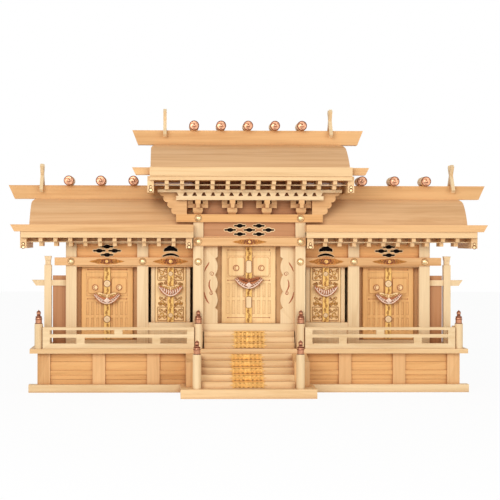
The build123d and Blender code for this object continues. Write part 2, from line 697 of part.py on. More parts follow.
def upper_walls():
    """The walls of the raised centre: sides over the low roofs, a front behind the brackets, and a back."""
    x1 = CENTRE_BODY_HALF
    x0 = x1 - SIDE_WALL_T
    rear = BACK_WALL_REACH + REAR_POST_D
    side = block(x0, x1, POST_REACH, rear, LOW_SOFFIT_Z, BEAM_Z)
    back = block(-x1, x1, BACK_WALL_REACH, BACK_WALL_REACH - BACK_WALL_T, LOW_SOFFIT_Z, CENTRE_SOFFIT_Z)
    wall_front = CENTRE_REACH + BEAM_PROUD - BEARING_SEAT
    face = block(-x1, x1, wall_front, wall_front - SIDE_WALL_T, BEAM_TOP, CENTRE_SOFFIT_Z)
    side += block(x0, x1, wall_front - SIDE_WALL_T, rear, BEAM_Z, CENTRE_SOFFIT_Z)
    return both_sides([side]) + [back, face]


def nail_covers():
    """The round caps on the posts at the level of the lintels."""
    cover = Cylinder(NAIL_COVER_R, NAIL_COVER_H, align=(Align.CENTER, Align.CENTER, Align.MIN))
    cover = Rot(90, 0, 0) * cover
    low_z = (LINTEL_Z + LINTEL_TOP) / 2
    right = [Pos(x, at(POST_REACH + FACE_BOARD_T), low_z) * cover for x in (OUTER_POST_X, MID_POST_X)]
    right.append(Pos(CENTRE_POST_X, at(CENTRE_REACH), low_z) * cover)
    high_z = (CENTRE_LINTEL_Z + CENTRE_LINTEL_TOP) / 2
    right.append(Pos(CENTRE_POST_X, at(CENTRE_REACH + FACE_BOARD_T), high_z) * cover)
    right.append(Pos(CENTRE_POST_X, at(CENTRE_REACH + BEAM_PROUD), (BEAM_Z + BEAM_TOP) / 2) * cover)
    return both_sides(right)


def wall_plates():
    """The beams that the low rafters butt against, along the wings' fronts and out to the end boards."""
    back = POST_REACH - POST_D
    spans = ((CENTRE_BODY_HALF, MID_POST_X - MID_POST_W / 2),
             (MID_POST_X + MID_POST_W / 2, OUTER_POST_X - OUTER_POST_W / 2))
    right = [block(x0, x1, POST_REACH, back, PLATE_Z, LOW_SOFFIT_Z) for x0, x1 in spans]
    foot = LOW_SOFFIT_Z - RAFTER - BATTEN_T
    x0 = OUTER_POST_X + OUTER_POST_W / 2
    right.append(block(x0, LOW_END_BOARD_X, POST_REACH, back, foot, LOW_SOFFIT_Z))
    return both_sides(right)


# Side screens

def side_screens():
    """A post with a flared cap and a cross rail with a slanted end, at each end of the front."""
    half = SCREEN_POST_W / 2
    back = SCREEN_REACH - SCREEN_POST_W
    x0 = SCREEN_POST_X - half
    x1 = SCREEN_POST_X + half
    post = block(x0, x1, SCREEN_REACH, back, DECK_TOP, SCREEN_TOP - 2 * SCREEN_CAP_H)
    wall = OUTER_POST_X + OUTER_POST_W / 2
    rail_top = SCREEN_RAIL_Z + SCREEN_RAIL_H
    inset = SCREEN_CAP_INSET
    rail_front = SCREEN_REACH - inset
    rail_back = back + inset
    post += block(wall, x0, rail_front, rail_back, SCREEN_RAIL_Z, rail_top)
    stub = [(x1, SCREEN_RAIL_Z), (SCREEN_RAIL_END_X - SCREEN_RAIL_SLANT, SCREEN_RAIL_Z),
            (SCREEN_RAIL_END_X, rail_top), (x1, rail_top)]
    post += prism_y(stub, rail_front, rail_back)
    cap_z = SCREEN_TOP - 2 * SCREEN_CAP_H
    flare_z = cap_z + SCREEN_CAP_H
    post += block(x0 + inset, x1 - inset, rail_front, rail_back, cap_z, flare_z)
    post += prism_y([(x0 + inset, flare_z), (x1 - inset, flare_z), (x1, SCREEN_TOP), (x0, SCREEN_TOP)],
                    SCREEN_REACH, back)
    return both_sides([post])


def screen_panels():
    wall = OUTER_POST_X + OUTER_POST_W / 2
    edge = SCREEN_POST_X - SCREEN_POST_W / 2 - 3.0
    middle = SCREEN_REACH - SCREEN_POST_W / 2
    panel = block(wall, edge, middle + 3, middle - 3, DECK_TOP, SCREEN_RAIL_Z)
    rail_top = SCREEN_RAIL_Z + SCREEN_RAIL_H
    upper = block(wall, edge, middle + 3, middle - 3, rail_top, rail_top + SCREEN_CAP_H)
    return both_sides([panel, upper])


# Doors

def door_leaf(span, height, panelled):
    """A right-hand leaf with its pivot axis on Z, its foot at Z=0, running to -X, with its pins."""
    width = span / 2 - LEAF_T / 2 - MEETING_GAP / 2
    front = -LEAF_T / 2
    leaf = Pos(-width / 2, 0, height / 2) * Box(width, LEAF_T, height)
    leaf += Cylinder(LEAF_T / 2, height, align=(Align.CENTER, Align.CENTER, Align.MIN))
    x_right = LEAF_T / 2 - LEAF_STILE
    x_left = ASTRAGAL_W / 2 - width

    def pocket(x0, x1, z0, z1):
        return Pos((x0 + x1) / 2, front, (z0 + z1) / 2) * Box(x1 - x0, 2 * POCKET_DEPTH, z1 - z0)

    if panelled:
        leaf -= pocket(x_left, x_right, PANEL_FOOT_SHARE * height, height - LEAF_STILE)
        bay = (x_right - x_left) / (2 * SLATS + 1)
        for foot, head in SLAT_ROWS:
            for i in range(SLATS + 1):
                x0 = x_left + 2 * i * bay
                leaf -= pocket(x0, x0 + bay, foot * height, head * height)
        stud = Cylinder(STUD_R, STUD_H + POCKET_DEPTH, align=(Align.CENTER, Align.CENTER, Align.MIN))
        leaf += Pos((x_left + x_right) / 2, front + POCKET_DEPTH, STUD_SHARE * height) * Rot(90, 0, 0) * stud
    pin = Cylinder(PIN_R, PIN_LENGTH)
    leaf += Pos(0, 0, height + PIN_LENGTH / 2) * pin
    leaf += Pos(0, 0, -PIN_LENGTH / 2) * pin
    return leaf


def add_astragal(leaf, span, height):
    """The cover strip over the meeting line, fixed to this leaf and standing clear of the other."""
    meeting = -(span / 2 - LEAF_T / 2)
    half = ASTRAGAL_W / 2
    front = -LEAF_T / 2 - ASTRAGAL_LIFT - ASTRAGAL_T
    strip = Pos(meeting, front + ASTRAGAL_T / 2, height / 2) * Box(ASTRAGAL_W, ASTRAGAL_T, height)
    own = half - MEETING_GAP / 2
    seat = Pos(meeting + half - own / 2, -LEAF_T / 2 - ASTRAGAL_LIFT / 2, height / 2)
    return leaf + strip + seat * Box(own, ASTRAGAL_LIFT, height)


def door_lock(length):
    """A boat-shaped lock, its middle on X=0, its keel at Z=0 and its back at Y=0."""
    half = length / 2
    horn = LOCK_H * 0.84
    keel = ThreePointArc((-half, horn), (0, 0), (half, horn))
    rim = Polyline((half, horn), (half * 0.86, LOCK_H), (half * 0.45, LOCK_H * 0.7), (0, LOCK_H * 0.55),
                   (-half * 0.45, LOCK_H * 0.7), (-half * 0.86, LOCK_H), (-half, horn))
    return extrude(Plane.XZ * make_face(keel + rim), amount=LOCK_T, dir=(0, -1, 0))


def doors():
    """Both leaves and the lock of all five pairs, by name."""
    made = {}
    lock_lengths = {"outer": 60.0, "narrow": 54.0, "centre": 64.0}
    lock_heights = {"outer": 0.49, "narrow": 0.47, "centre": 0.45}
    for name, x, span, reach, foot, head in leaf_pairs():
        height = head - foot - 2 * LEAF_GAP
        z = foot + LEAF_GAP
        plain = door_leaf(span, height, name != "narrow")
        strip = add_astragal(plain, span, height)
        arm = span / 2 - LEAF_T / 2
        lock_y = at(reach) - LEAF_T / 2 - ASTRAGAL_LIFT - ASTRAGAL_T
        outer_leaf = Pos(arm, at(reach), z) * strip
        inner_leaf = (Pos(arm, at(reach), z) * plain).mirror(Plane.YZ)
        lock = Pos(0, lock_y, z + lock_heights[name] * height) * door_lock(lock_lengths[name])
        right = {"locked": outer_leaf, "free": inner_leaf, "lock": lock}
        sides = ("",) if name == "centre" else ("_left", "_right")
        for side in sides:
            for piece, shape in right.items():
                placed = Pos(x, 0, 0) * shape
                made[f"{name}{side}_{piece}"] = placed.mirror(Plane.YZ) if side == "_left" else placed
    return made


# Roofs

def roof_slope(x0, x1, slope_reach, eave_z, top_z):
    """One curved roof board, from its foot on the eave plank up to its flat seat under the ridge."""
    foot = at(slope_reach)
    inner_foot = at(slope_reach - ROOF_FOOT)
    crown = at(RIDGE_T / 2)
    ridge = at(0)
    over = ((foot + crown) / 2 - ROOF_BULGE_OUT, (eave_z + top_z) / 2 + ROOF_BULGE_UP)
    under = ((inner_foot + ridge) / 2 - ROOF_BULGE_OUT, (eave_z + top_z - ROOF_T) / 2 + ROOF_BULGE_UP)
    outline = ThreePointArc((foot, eave_z), over, (crown, top_z))
    outline += Polyline((crown, top_z), (ridge, top_z), (ridge, top_z - ROOF_T))
    outline += ThreePointArc((ridge, top_z - ROOF_T), under, (inner_foot, eave_z))
    outline += Line((inner_foot, eave_z), (foot, eave_z))
    face = Plane.YZ * make_face(outline)
    return Pos(x0, 0, 0) * extrude(face, amount=x1 - x0, dir=(1, 0, 0))


def rounded_corner(x, top_z, reach):
    """What is cut away to round a roof board's top corner, seen from the front, at its right-hand end."""
    r = ROOF_CORNER_R
    corner = block(x - r, x + r, reach, -reach, top_z - r, top_z + r)
    return corner - Pos(x - r, at(0), top_z - r) * Rot(90, 0, 0) * Cylinder(r, 4 * reach)


def roof_fronts():
    low = roof_slope(LOW_ROOF_INNER, LOW_ROOF_HALF, LOW_SLOPE_REACH, LOW_EAVE_Z, LOW_ROOF_TOP)
    low -= rounded_corner(LOW_ROOF_HALF, LOW_ROOF_TOP, LOW_SLOPE_REACH)
    high = roof_slope(-CENTRE_ROOF_HALF, CENTRE_ROOF_HALF, CENTRE_SLOPE_REACH, CENTRE_EAVE_Z, CENTRE_ROOF_TOP)
    for cut in both_sides([rounded_corner(CENTRE_ROOF_HALF, CENTRE_ROOF_TOP, CENTRE_SLOPE_REACH)]):
        high -= cut
    return both_sides([low]) + [high]


def roof_backs():
    return [front_and_back(shape)[1] for shape in roof_fronts()]


def slanted_plank(foot_half, top_half, reach, depth, z0, z1):
    """A bar with both ends cut on a slant, longer along its top."""
    points = [(-foot_half, z0), (foot_half, z0), (top_half, z1), (-top_half, z1)]
    return prism_y(points, reach, reach - depth)


def half_plank(inner, foot_half, top_half, reach, depth, z0, z1):
    """The right half of such a bar, from the centre bay outwards."""
    return prism_y([(inner, z0), (foot_half, z0), (top_half, z1), (inner, z1)], reach, reach - depth)


def eave_planks():
    """The bars that carry the feet of the roof boards, all with slanted ends but the centre's rear one."""
    depth = LOW_EAVE_REACH - LOW_SLOPE_REACH + ROOF_FOOT
    low = half_plank(LOW_ROOF_INNER, LOW_PLANK_FOOT_HALF, LOW_PLANK_TOP_HALF, LOW_EAVE_REACH, depth,
                     LOW_PLANK_Z, LOW_EAVE_Z)
    reach = CENTRE_EAVE_REACH - PLANK_D
    depth = reach - CENTRE_SLOPE_REACH + ROOF_FOOT
    centre = slanted_plank(CENTRE_PLANK_FOOT_HALF, CENTRE_PLANK_TOP_HALF, reach, depth, CENTRE_PLANK_Z,
                           CENTRE_EAVE_Z)
    half = CENTRE_FASCIA_HALF
    rear = slanted_plank(half, half, reach, depth, CENTRE_PLANK_Z, CENTRE_EAVE_Z)
    lows = both_sides([low])
    return lows + [centre] + [front_and_back(shape)[1] for shape in lows + [rear]]


def eave_boards():
    """The fascias: one under each low eave plank, and a deep one over a thin one on the centre roof."""
    reach = LOW_EAVE_REACH - FASCIA_SET_BACK
    low = block(LOW_ROOF_INNER, LOW_FASCIA_HALF, reach, reach - FASCIA_T, LOW_SOFFIT_Z, LOW_PLANK_Z)
    half = CENTRE_FASCIA_HALF
    high = block(-half, half, CENTRE_EAVE_REACH, CENTRE_EAVE_REACH - PLANK_D, CENTRE_FASCIA_Z, CENTRE_EAVE_Z)
    set_back = CENTRE_EAVE_REACH - FASCIA_SET_BACK
    high += block(-half, half, set_back, set_back - FASCIA_T, CENTRE_SOFFIT_Z, CENTRE_FASCIA_Z)
    front = both_sides([low]) + [high]
    return front + [front_and_back(shape)[1] for shape in front]


def soffit_boards():
    reach = LOW_EAVE_REACH - FASCIA_SET_BACK - FASCIA_T
    low = block(LOW_ROOF_INNER, LOW_END_BOARD_X, reach, -reach, LOW_SOFFIT_Z, LOW_SOFFIT_Z + SOFFIT_T)
    reach = CENTRE_EAVE_REACH - FASCIA_SET_BACK - FASCIA_T
    half = CENTRE_END_BOARD_X
    centre = block(-half, half, reach, -reach, CENTRE_SOFFIT_Z, CENTRE_SOFFIT_Z + SOFFIT_T)
    return both_sides([low]) + [centre]


def rafter_row(first, last, count, front, back, top):
    pitch = (last - first) / (count - 1)
    places = [first + pitch * i for i in range(count)]
    return [block(x - RAFTER / 2, x + RAFTER / 2, front, back, top - RAFTER, top) for x in places]


def rafter_rows(set_back, drop):
    """One row of rafters under each low eave and under the centre eave, this far below the soffits."""
    low = rafter_row(LOW_RAFTER_FIRST, LOW_RAFTER_LAST, LOW_RAFTERS, LOW_EAVE_REACH - set_back, POST_REACH,
                     LOW_SOFFIT_Z - drop)
    first = CENTRE_RAFTER_PITCH / 2
    last = first + CENTRE_RAFTER_PITCH * (CENTRE_RAFTERS - 1)
    wall = CENTRE_REACH + BEAM_PROUD - BEARING_SEAT
    high = rafter_row(first, last, CENTRE_RAFTERS, CENTRE_EAVE_REACH - set_back, wall, CENTRE_SOFFIT_Z - drop)
    return both_sides(low + high)


def upper_rafters():
    return rafter_rows(UPPER_RAFTER_SET_BACK, 0)


def lower_rafters():
    return rafter_rows(LOWER_RAFTER_SET_BACK, RAFTER + BATTEN_T)


def eave_battens():
    """The thin strips between the two rows of rafters."""
    top = LOW_SOFFIT_Z - RAFTER
    reach = LOW_EAVE_REACH - LOWER_RAFTER_SET_BACK
    x0 = LOW_INNER_BOARD_X + END_BOARD_T
    low = block(x0, LOW_END_BOARD_X, reach, reach - BATTEN_D, top - BATTEN_T, top)
    top = CENTRE_SOFFIT_Z - RAFTER
    reach = CENTRE_EAVE_REACH - LOWER_RAFTER_SET_BACK
    half = CENTRE_END_BOARD_X
    centre = block(-half, half, reach, reach - BATTEN_D, top - BATTEN_T, top)
    return both_sides([low]) + [centre]


def end_board(x, reach, step_reach, foot_z, soffit_z, top_z):
    """A board across the end of the eaves, deep at the front and stepped up to the soffit at the back."""
    section = [(reach, foot_z), (reach, top_z), (-reach, top_z), (-reach, soffit_z), (step_reach, soffit_z),
               (step_reach, foot_z)]
    return prism_x(section, x, x + END_BOARD_T)


def end_boards():
    reach = LOW_EAVE_REACH - FASCIA_SET_BACK - FASCIA_T
    outer = end_board(LOW_END_BOARD_X, reach, LOW_END_BOARD_BACK, LOW_END_BOARD_Z, LOW_SOFFIT_Z, LOW_PLANK_Z)
    inner = block(LOW_INNER_BOARD_X, LOW_INNER_BOARD_X + END_BOARD_T, reach, POST_REACH + FACE_BOARD_T,
                  LOW_END_BOARD_Z, LOW_SOFFIT_Z)
    reach = CENTRE_EAVE_REACH - FASCIA_SET_BACK - FASCIA_T
    step = RIDGE_T / 2 + END_BOARD_RIDGE_GAP
    centre = end_board(CENTRE_END_BOARD_X, reach, step, CENTRE_END_BOARD_Z, CENTRE_SOFFIT_Z, CENTRE_FASCIA_Z)
    return both_sides([outer, inner, centre])


def gable(reach, soffit_z, eave_z, top_z, outer_x):
    """One board that closes the end of a roof space, under the two roof boards."""
    foot_z = soffit_z + SOFFIT_T
    peak = top_z - ROOF_T - 4.0
    section = [(reach, foot_z), (reach, eave_z - 1), (0, peak), (-reach, eave_z - 1), (-reach, foot_z)]
    return prism_x(section, outer_x - GABLE_T, outer_x)


def gable_boards():
    inset = ROOF_FOOT + 2.0
    low = gable(LOW_SLOPE_REACH - inset, LOW_SOFFIT_Z, LOW_EAVE_Z, LOW_ROOF_TOP,
                LOW_ROOF_HALF - GABLE_INSET)
    centre = gable(CENTRE_SLOPE_REACH - inset, CENTRE_SOFFIT_Z, CENTRE_EAVE_Z, CENTRE_ROOF_TOP,
                   CENTRE_ROOF_HALF - GABLE_INSET)
    return both_sides([low, centre])


def ridge_boards():
    low = half_plank(LOW_ROOF_INNER, LOW_RIDGE_FOOT_HALF, LOW_RIDGE_TOP_HALF, RIDGE_T / 2, RIDGE_T,
                     LOW_ROOF_TOP, LOW_RIDGE_TOP)
    centre = slanted_plank(CENTRE_RIDGE_FOOT_HALF, CENTRE_RIDGE_TOP_HALF, RIDGE_T / 2, RIDGE_T,
                           CENTRE_ROOF_TOP, CENTRE_RIDGE_TOP)
    return both_sides([low]) + [centre]


def log_places():
    """The X and the seat height of every ridge log on the right and in the middle."""
    places = [(x, LOW_RIDGE_TOP) for x in LOW_LOG_X]
    places += [(CENTRE_LOG_PITCH * i, CENTRE_RIDGE_TOP) for i in (1, 2)]
    return places


def ridge_log():
    log = Rot(90, 0, 0) * Cylinder(LOG_R, LOG_LENGTH)
    floor = Pos(0, 0, -LOG_R - LOG_R + LOG_SEAT) * Box(4 * LOG_R, 2 * LOG_LENGTH, 2 * LOG_R)
    return log - floor


def ridge_logs():
    log = ridge_log()
    right = [Pos(x, RIDGE_Y, z + LOG_R - LOG_SEAT) * log for x, z in log_places()]
    return both_sides(right) + [Pos(0, RIDGE_Y, CENTRE_RIDGE_TOP + LOG_R - LOG_SEAT) * log]


def log_caps():
    """The metal discs on both ends of every ridge log."""
    cap = Rot(90, 0, 0) * Cylinder(LOG_R * 0.94, LOG_CAP_T)
    made = []
    for x, z in log_places() + [(0.0, CENTRE_RIDGE_TOP)]:
        for side in (-1, 1):
            y = RIDGE_Y + side * (LOG_LENGTH + LOG_CAP_T) / 2
            made.append(Pos(x, y, z + LOG_R - LOG_SEAT) * cap)
            if x > 0:
                made.append(Pos(-x, y, z + LOG_R - LOG_SEAT) * cap)
    return made


def ridge_fork(ridge_top):
    """A crossed pair of roof-end finials that straddles the ridge board."""
    angle = math.radians(FORK_ANGLE)
    cross_z = ridge_top + (RIDGE_T / 2) * math.tan(angle) + FORK_W / 2 / math.cos(angle) + 1
    top_z = ridge_top + FORK_RISE
    up = (top_z - cross_z) / math.sin(angle)
    down = (cross_z - ridge_top + FORK_FOOT) / math.sin(angle)
    arm = Box(FORK_T, FORK_W, up + down)
    arm = Pos(0, 0, (up - down) / 2) * arm
    lean = 90.0 - FORK_ANGLE
    fork = Rot(lean, 0, 0) * arm + Rot(-lean, 0, 0) * arm
    return Pos(0, RIDGE_Y, cross_z) * fork


def ridge_forks():
    low = Pos(LOW_FINIAL_X, 0, 0) * ridge_fork(LOW_RIDGE_TOP)
    centre = Pos(CENTRE_FINIAL_X, 0, 0) * ridge_fork(CENTRE_RIDGE_TOP)
    return both_sides([low, centre])


# Bracketing of the raised centre

def head_beam():
    """The beam on the front centre pillars, with long thin ends that reach out under the corbels."""
    front = CENTRE_REACH + BEAM_PROUD
    back = front - BEARING_SEAT - SIDE_WALL_T
    half = CENTRE_BODY_HALF
    beam = block(-half, half, front, back, BEAM_Z, BEAM_TOP)
    return beam + block(-BEAM_HALF, BEAM_HALF, front, front - CORBEL_T, BEAM_Z, BEAM_TOP)


def bracket_set():
    """One bracket set: a bearing block, crossed arms, three small blocks and one a step forward."""
    y = at(CENTRE_REACH + BEAM_PROUD - BEARING_SEAT / 2)
    z = BEAM_TOP

    def piece(dx, forward, width, depth, z0, height):
        return Pos(dx, y - forward, z0 + height / 2) * Box(width, depth, height)

    bottom = BEARING_H * BEARING_NECK
    lower = Plane.XY * Rectangle(BEARING_W * BEARING_TAPER, BEARING_W * BEARING_TAPER)
    upper = Plane.XY.offset(bottom) * Rectangle(BEARING_W, BEARING_W)
    cluster = Pos(0, y, z) * loft([lower, upper])
    cluster += piece(0, 0, BEARING_W, BEARING_W, z + bottom, BEARING_H - bottom)
    z += BEARING_H
    cluster += piece(0, 0, ARM_LENGTH, ARM_T, z, ARM_H)
    cluster += piece(0, BRACKET_STEP / 2, ARM_T, BRACKET_STEP + BLOCK_W, z, ARM_H)
    z += ARM_H
    spread = (ARM_LENGTH - BLOCK_W) / 2
    for dx, forward in ((-spread, 0), (0, 0), (spread, 0), (0, BRACKET_STEP)):
        cluster += piece(dx, forward, BLOCK_W, BLOCK_D, z, BLOCK_H)
    return cluster


def bracket_sets():
    cluster = bracket_set()
    first = -BRACKET_PITCH * (BRACKET_COUNT - 1) / 2
    return [Pos(first + BRACKET_PITCH * i, 0, 0) * cluster for i in range(BRACKET_COUNT)]


def step_reach():
    """How far forward the outer line of the brackets lies."""
    return CENTRE_REACH + BEAM_PROUD - BEARING_SEAT / 2 + BRACKET_STEP


def bracket_tie():
    """The long bar on the outer blocks, with the row of small blocks that carries the purlin."""
    top = PURLIN_Z - BLOCK_H
    front = step_reach() + ARM_T / 2
    back = front - ARM_T
    tie = block(-BEAM_HALF, BEAM_HALF, front, back, top - ARM_H, top)
    foot = TIE_BLOCK_FOOT / 2
    head = TIE_BLOCK_HEAD / 2
    for i in range(2 * TIE_BLOCKS):
        x = TIE_BLOCK_PITCH * (i + 0.5 - TIE_BLOCKS)
        points = [(x - foot, top), (x + foot, top), (x + head, PURLIN_Z), (x - head, PURLIN_Z)]
        tie += prism_y(points, front, back)
    return tie


def eave_purlin():
    """The bar on the row of blocks, which carries the lower rafters."""
    reach = step_reach() + PURLIN_T / 2
    return block(-PURLIN_HALF, PURLIN_HALF, reach, reach - PURLIN_T, PURLIN_Z, RAFTER_SEAT_Z)


def side_corbels():
    """Boards on the ends of the head beam, whose outer edges rise in scallops to carry the end rafters."""
    front = CENTRE_REACH + BEAM_PROUD
    top = RAFTER_SEAT_Z
    run = CORBEL_HALF - BEAM_HALF
    rise = top - BEAM_TOP
    start = (BEAM_HALF, BEAM_TOP)
    edge = None
    for i in range(CORBEL_SCALLOPS):
        share = (i + 1) / CORBEL_SCALLOPS
        end = (BEAM_HALF + run * share, BEAM_TOP + rise * share)
        out = rise / CORBEL_SCALLOPS * CORBEL_SWELL
        down = run / CORBEL_SCALLOPS * CORBEL_SWELL
        middle = ((start[0] + end[0]) / 2 + out, (start[1] + end[1]) / 2 - down)
        arc = ThreePointArc(start, middle, end)
        edge = arc if edge is None else edge + arc
        start = end
    inner = BRACKET_PITCH * (BRACKET_COUNT - 1) / 2 + ARM_LENGTH / 2 + CORBEL_GAP
    rest = Polyline((CORBEL_HALF, top), (inner, top), (inner, BEAM_TOP), (BEAM_HALF, BEAM_TOP))
    face = Plane.XZ * make_face(edge + rest)
    board = Pos(0, at(front - CORBEL_T), 0) * extrude(face, amount=CORBEL_T, dir=(0, -1, 0))
    return both_sides([board])


def build():
    os.makedirs("parts", exist_ok=True)
    pieces = {
        "base_board": [base_board()], "stair_base": [stair_base()], "podium_posts": podium_posts(),
        "podium_panels": podium_panels(), "deck_board": [deck_board()], "steps": steps(),
        "stair_cheeks": stair_cheeks(), "newel_posts": newel_posts(), "newel_finials": newel_finials(),
        "railings": railings(), "wall_posts": wall_posts(), "centre_pillars": centre_pillars(),
        "sills": sills(), "lintels": lintels(), "door_stops": door_stops(),
        "narrow_bay_boards": narrow_bay_boards(), "frieze_panels": frieze_panels(),
        "centre_frieze": [centre_frieze()], "sleeve_boards": sleeve_boards(), "back_wall": [back_wall()],
        "side_walls": side_walls(), "upper_walls": upper_walls(), "nail_covers": nail_covers(),
        "wall_plates": wall_plates(), "side_screens": side_screens(), "screen_panels": screen_panels(),
        "roof_fronts": roof_fronts(), "roof_backs": roof_backs(), "eave_planks": eave_planks(),
        "eave_boards": eave_boards(), "soffit_boards": soffit_boards(), "upper_rafters": upper_rafters(),
        "lower_rafters": lower_rafters(), "eave_battens": eave_battens(), "end_boards": end_boards(),
        "gable_boards": gable_boards(), "ridge_boards": ridge_boards(), "ridge_logs": ridge_logs(),
        "log_caps": log_caps(), "ridge_forks": ridge_forks(), "head_beam": [head_beam()],
        "bracket_sets": bracket_sets(), "bracket_tie": [bracket_tie()], "eave_purlin": [eave_purlin()],
        "side_corbels": side_corbels(),
    }
    for name, shapes in pieces.items():
        save(name, shapes)
    for name, shape in doors().items():
        save(name, [shape])


build()
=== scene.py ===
import math

import bmesh
import bpy
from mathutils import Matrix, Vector


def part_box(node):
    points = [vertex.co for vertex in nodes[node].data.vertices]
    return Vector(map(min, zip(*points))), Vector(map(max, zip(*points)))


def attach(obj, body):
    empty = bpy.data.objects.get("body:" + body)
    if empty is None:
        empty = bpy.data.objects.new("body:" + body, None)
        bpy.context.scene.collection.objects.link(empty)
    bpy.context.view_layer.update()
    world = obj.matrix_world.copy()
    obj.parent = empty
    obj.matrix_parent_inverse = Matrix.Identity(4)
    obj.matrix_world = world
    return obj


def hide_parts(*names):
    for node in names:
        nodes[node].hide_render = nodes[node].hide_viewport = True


# Looks of a five-door household shrine of plain cypress wood.
# Pieces are drawn in millimetres and stored in metres; -Y is the front.
MM = 0.001
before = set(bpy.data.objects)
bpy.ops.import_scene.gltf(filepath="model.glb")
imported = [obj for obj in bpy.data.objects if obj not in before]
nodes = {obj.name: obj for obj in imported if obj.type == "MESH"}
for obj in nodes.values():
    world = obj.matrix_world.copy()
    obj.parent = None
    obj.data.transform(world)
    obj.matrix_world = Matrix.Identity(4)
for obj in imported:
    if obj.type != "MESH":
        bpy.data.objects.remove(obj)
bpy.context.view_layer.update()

# Camera, from the photograph's perspective
EYE_MM = (-170.0, -3281.0, 342.6)
YAW_DEG = 1.65
ROLL_DEG = 0.093
LENS_MM = 104.15
SHIFT_X = 0.07
SHIFT_Y = -0.0235

# Places that several pieces share, in millimetres
RIDGE_Y = 37.5  # the ridge line, from which the depths are counted
OUTER_X = 319.75  # middle of an outer pair of doors
NARROW_X = 176.0  # middle of a narrow pair
OUTER_POST_X = 400.0
INNER_POST_X = 239.0
PILLAR_X = 114.3
WING_LINTEL_Z = 290.0
WING_LINTEL_PROUD = 5.0  # how far the wing lintels stand in front of the wall posts
CENTRE_LINTEL_Z = 334.5
HEAD_BEAM_Z = 387.25

# Wood tones, as sRGB values from 0 to 255
TONES = {
    "pale": (236, 209, 166),
    "frame": (234, 199, 150),
    "beam": (226, 180, 126),
    "ridge": (224, 176, 119),
    "roof": (224, 180, 132),
    "panel": (228, 176, 114),
    "door": (230, 180, 116),
    "carving": (240, 196, 112),
    # painted shade: a darker tone for parts that sit back in shade, the upper walls, gable boards, screen
    # panels and centre frieze
    "recess": (190, 136, 92),
    "cream": (240, 211, 166),
    # painted shade: the dark outlines and rings that stand for the shade round raised carving and fittings
    "groove": (122, 58, 34),
    # painted shade: the darker tone of cut lines, for the shade in the cuts
    "cut": (176, 100, 62),
    "pale_door": (246, 211, 156),
    "frieze": (240, 182, 116),
}
WHITE = (1.0, 1.0, 1.0, 1.0)


def linear(rgb):
    """A linear colour from 0-255 sRGB values."""
    def channel(value):
        value /= 255.0
        return value / 12.92 if value <= 0.04045 else ((value + 0.055) / 1.055) ** 2.4

    return tuple(channel(value) for value in rgb) + (1.0,)


def scaled(colour, factor):
    return tuple(min(1.0, value * factor) for value in colour[:3]) + (1.0,)


def grey(value):
    return (value, value, value, 1.0)


# Materials

def new_material(name):
    material = bpy.data.materials.new(name)
    material.use_nodes = True
    tree = material.node_tree
    shader = tree.nodes["Principled BSDF"]
    return material, tree, shader


def noise(tree, vector, scale, detail=4.0, roughness=0.55, distortion=0.0):
    node = tree.nodes.new("ShaderNodeTexNoise")
    node.inputs["Scale"].default_value = scale
    node.inputs["Detail"].default_value = detail
    node.inputs["Roughness"].default_value = roughness
    node.inputs["Distortion"].default_value = distortion
    tree.links.new(vector, node.inputs["Vector"])
    return node.outputs["Fac"]


def ramp(tree, factor, stops):
    node = tree.nodes.new("ShaderNodeValToRGB")
    points = node.color_ramp.elements
    while len(points) < len(stops):
        points.new(0.5)
    for point, (place, colour) in zip(points, stops):
        point.position = place
        point.color = colour
    tree.links.new(factor, node.inputs["Fac"])
    return node.outputs["Color"]


def feed(tree, value, socket):
    """A number or colour is set on the socket; another node's output is linked to it."""
    if isinstance(value, (int, float, tuple)):
        socket.default_value = value
    else:
        tree.links.new(value, socket)


def mixed(tree, factor, first, second, blend):
    node = tree.nodes.new("ShaderNodeMix")
    node.data_type = "RGBA"
    node.blend_type = blend
    for socket, value in ((0, factor), (6, first), (7, second)):
        feed(tree, value, node.inputs[socket])
    return node.outputs[2]


def object_place(tree):
    return tree.nodes.new("ShaderNodeTexCoord").outputs["Object"]


def add_bump(tree, shader, height, strength, distance):
    bump = tree.nodes.new("ShaderNodeBump")
    bump.inputs["Strength"].default_value = strength
    bump.inputs["Distance"].default_value = distance
    tree.links.new(height, bump.inputs["Height"])
    tree.links.new(bump.outputs["Normal"], shader.inputs["Normal"])


def paint_hollow_shade(tree, shader, colour, reach, stops):
    """The colour goes to the shader, with painted shade: darker where the surface is hollow, from ambient
    occlusion.
    """
    hollow = tree.nodes.new("ShaderNodeAmbientOcclusion")
    hollow.samples = 4
    hollow.inputs["Distance"].default_value = reach
    shade = ramp(tree, hollow.outputs["AO"], stops)
    tree.links.new(mixed(tree, 0.85, colour, shade, "MULTIPLY"), shader.inputs["Base Color"])


def mapped(tree, vector, scale):
    node = tree.nodes.new("ShaderNodeMapping")
    node.inputs["Scale"].default_value = scale
    tree.links.new(vector, node.inputs["Vector"])
    return node.outputs["Vector"]


FINE_GRAIN = (260.0, 5.0)  # noise scales across and along the grain
BROAD_GRAIN = (26.0, 1.3)
BAND_LOSS = (0.16, 0.24, 0.34)  # how much red, green and blue the dark bands lose
STREAK_TINT = (0.86, 0.80, 0.72, 1.0)
BOARD_TINT = (0.93, 0.90, 0.86, 1.0)
# painted shade: the colour that the hollows of the wood darken towards
HOLLOW_SHADE = (0.50, 0.27, 0.17, 1.0)


def grain(tree, place, along, scales, **settings):
    """Noise drawn out along one axis."""
    across, lengthwise = scales
    stretch = tuple(lengthwise if axis == along else across for axis in "XYZ")
    return noise(tree, mapped(tree, place, stretch), 1.0, **settings)


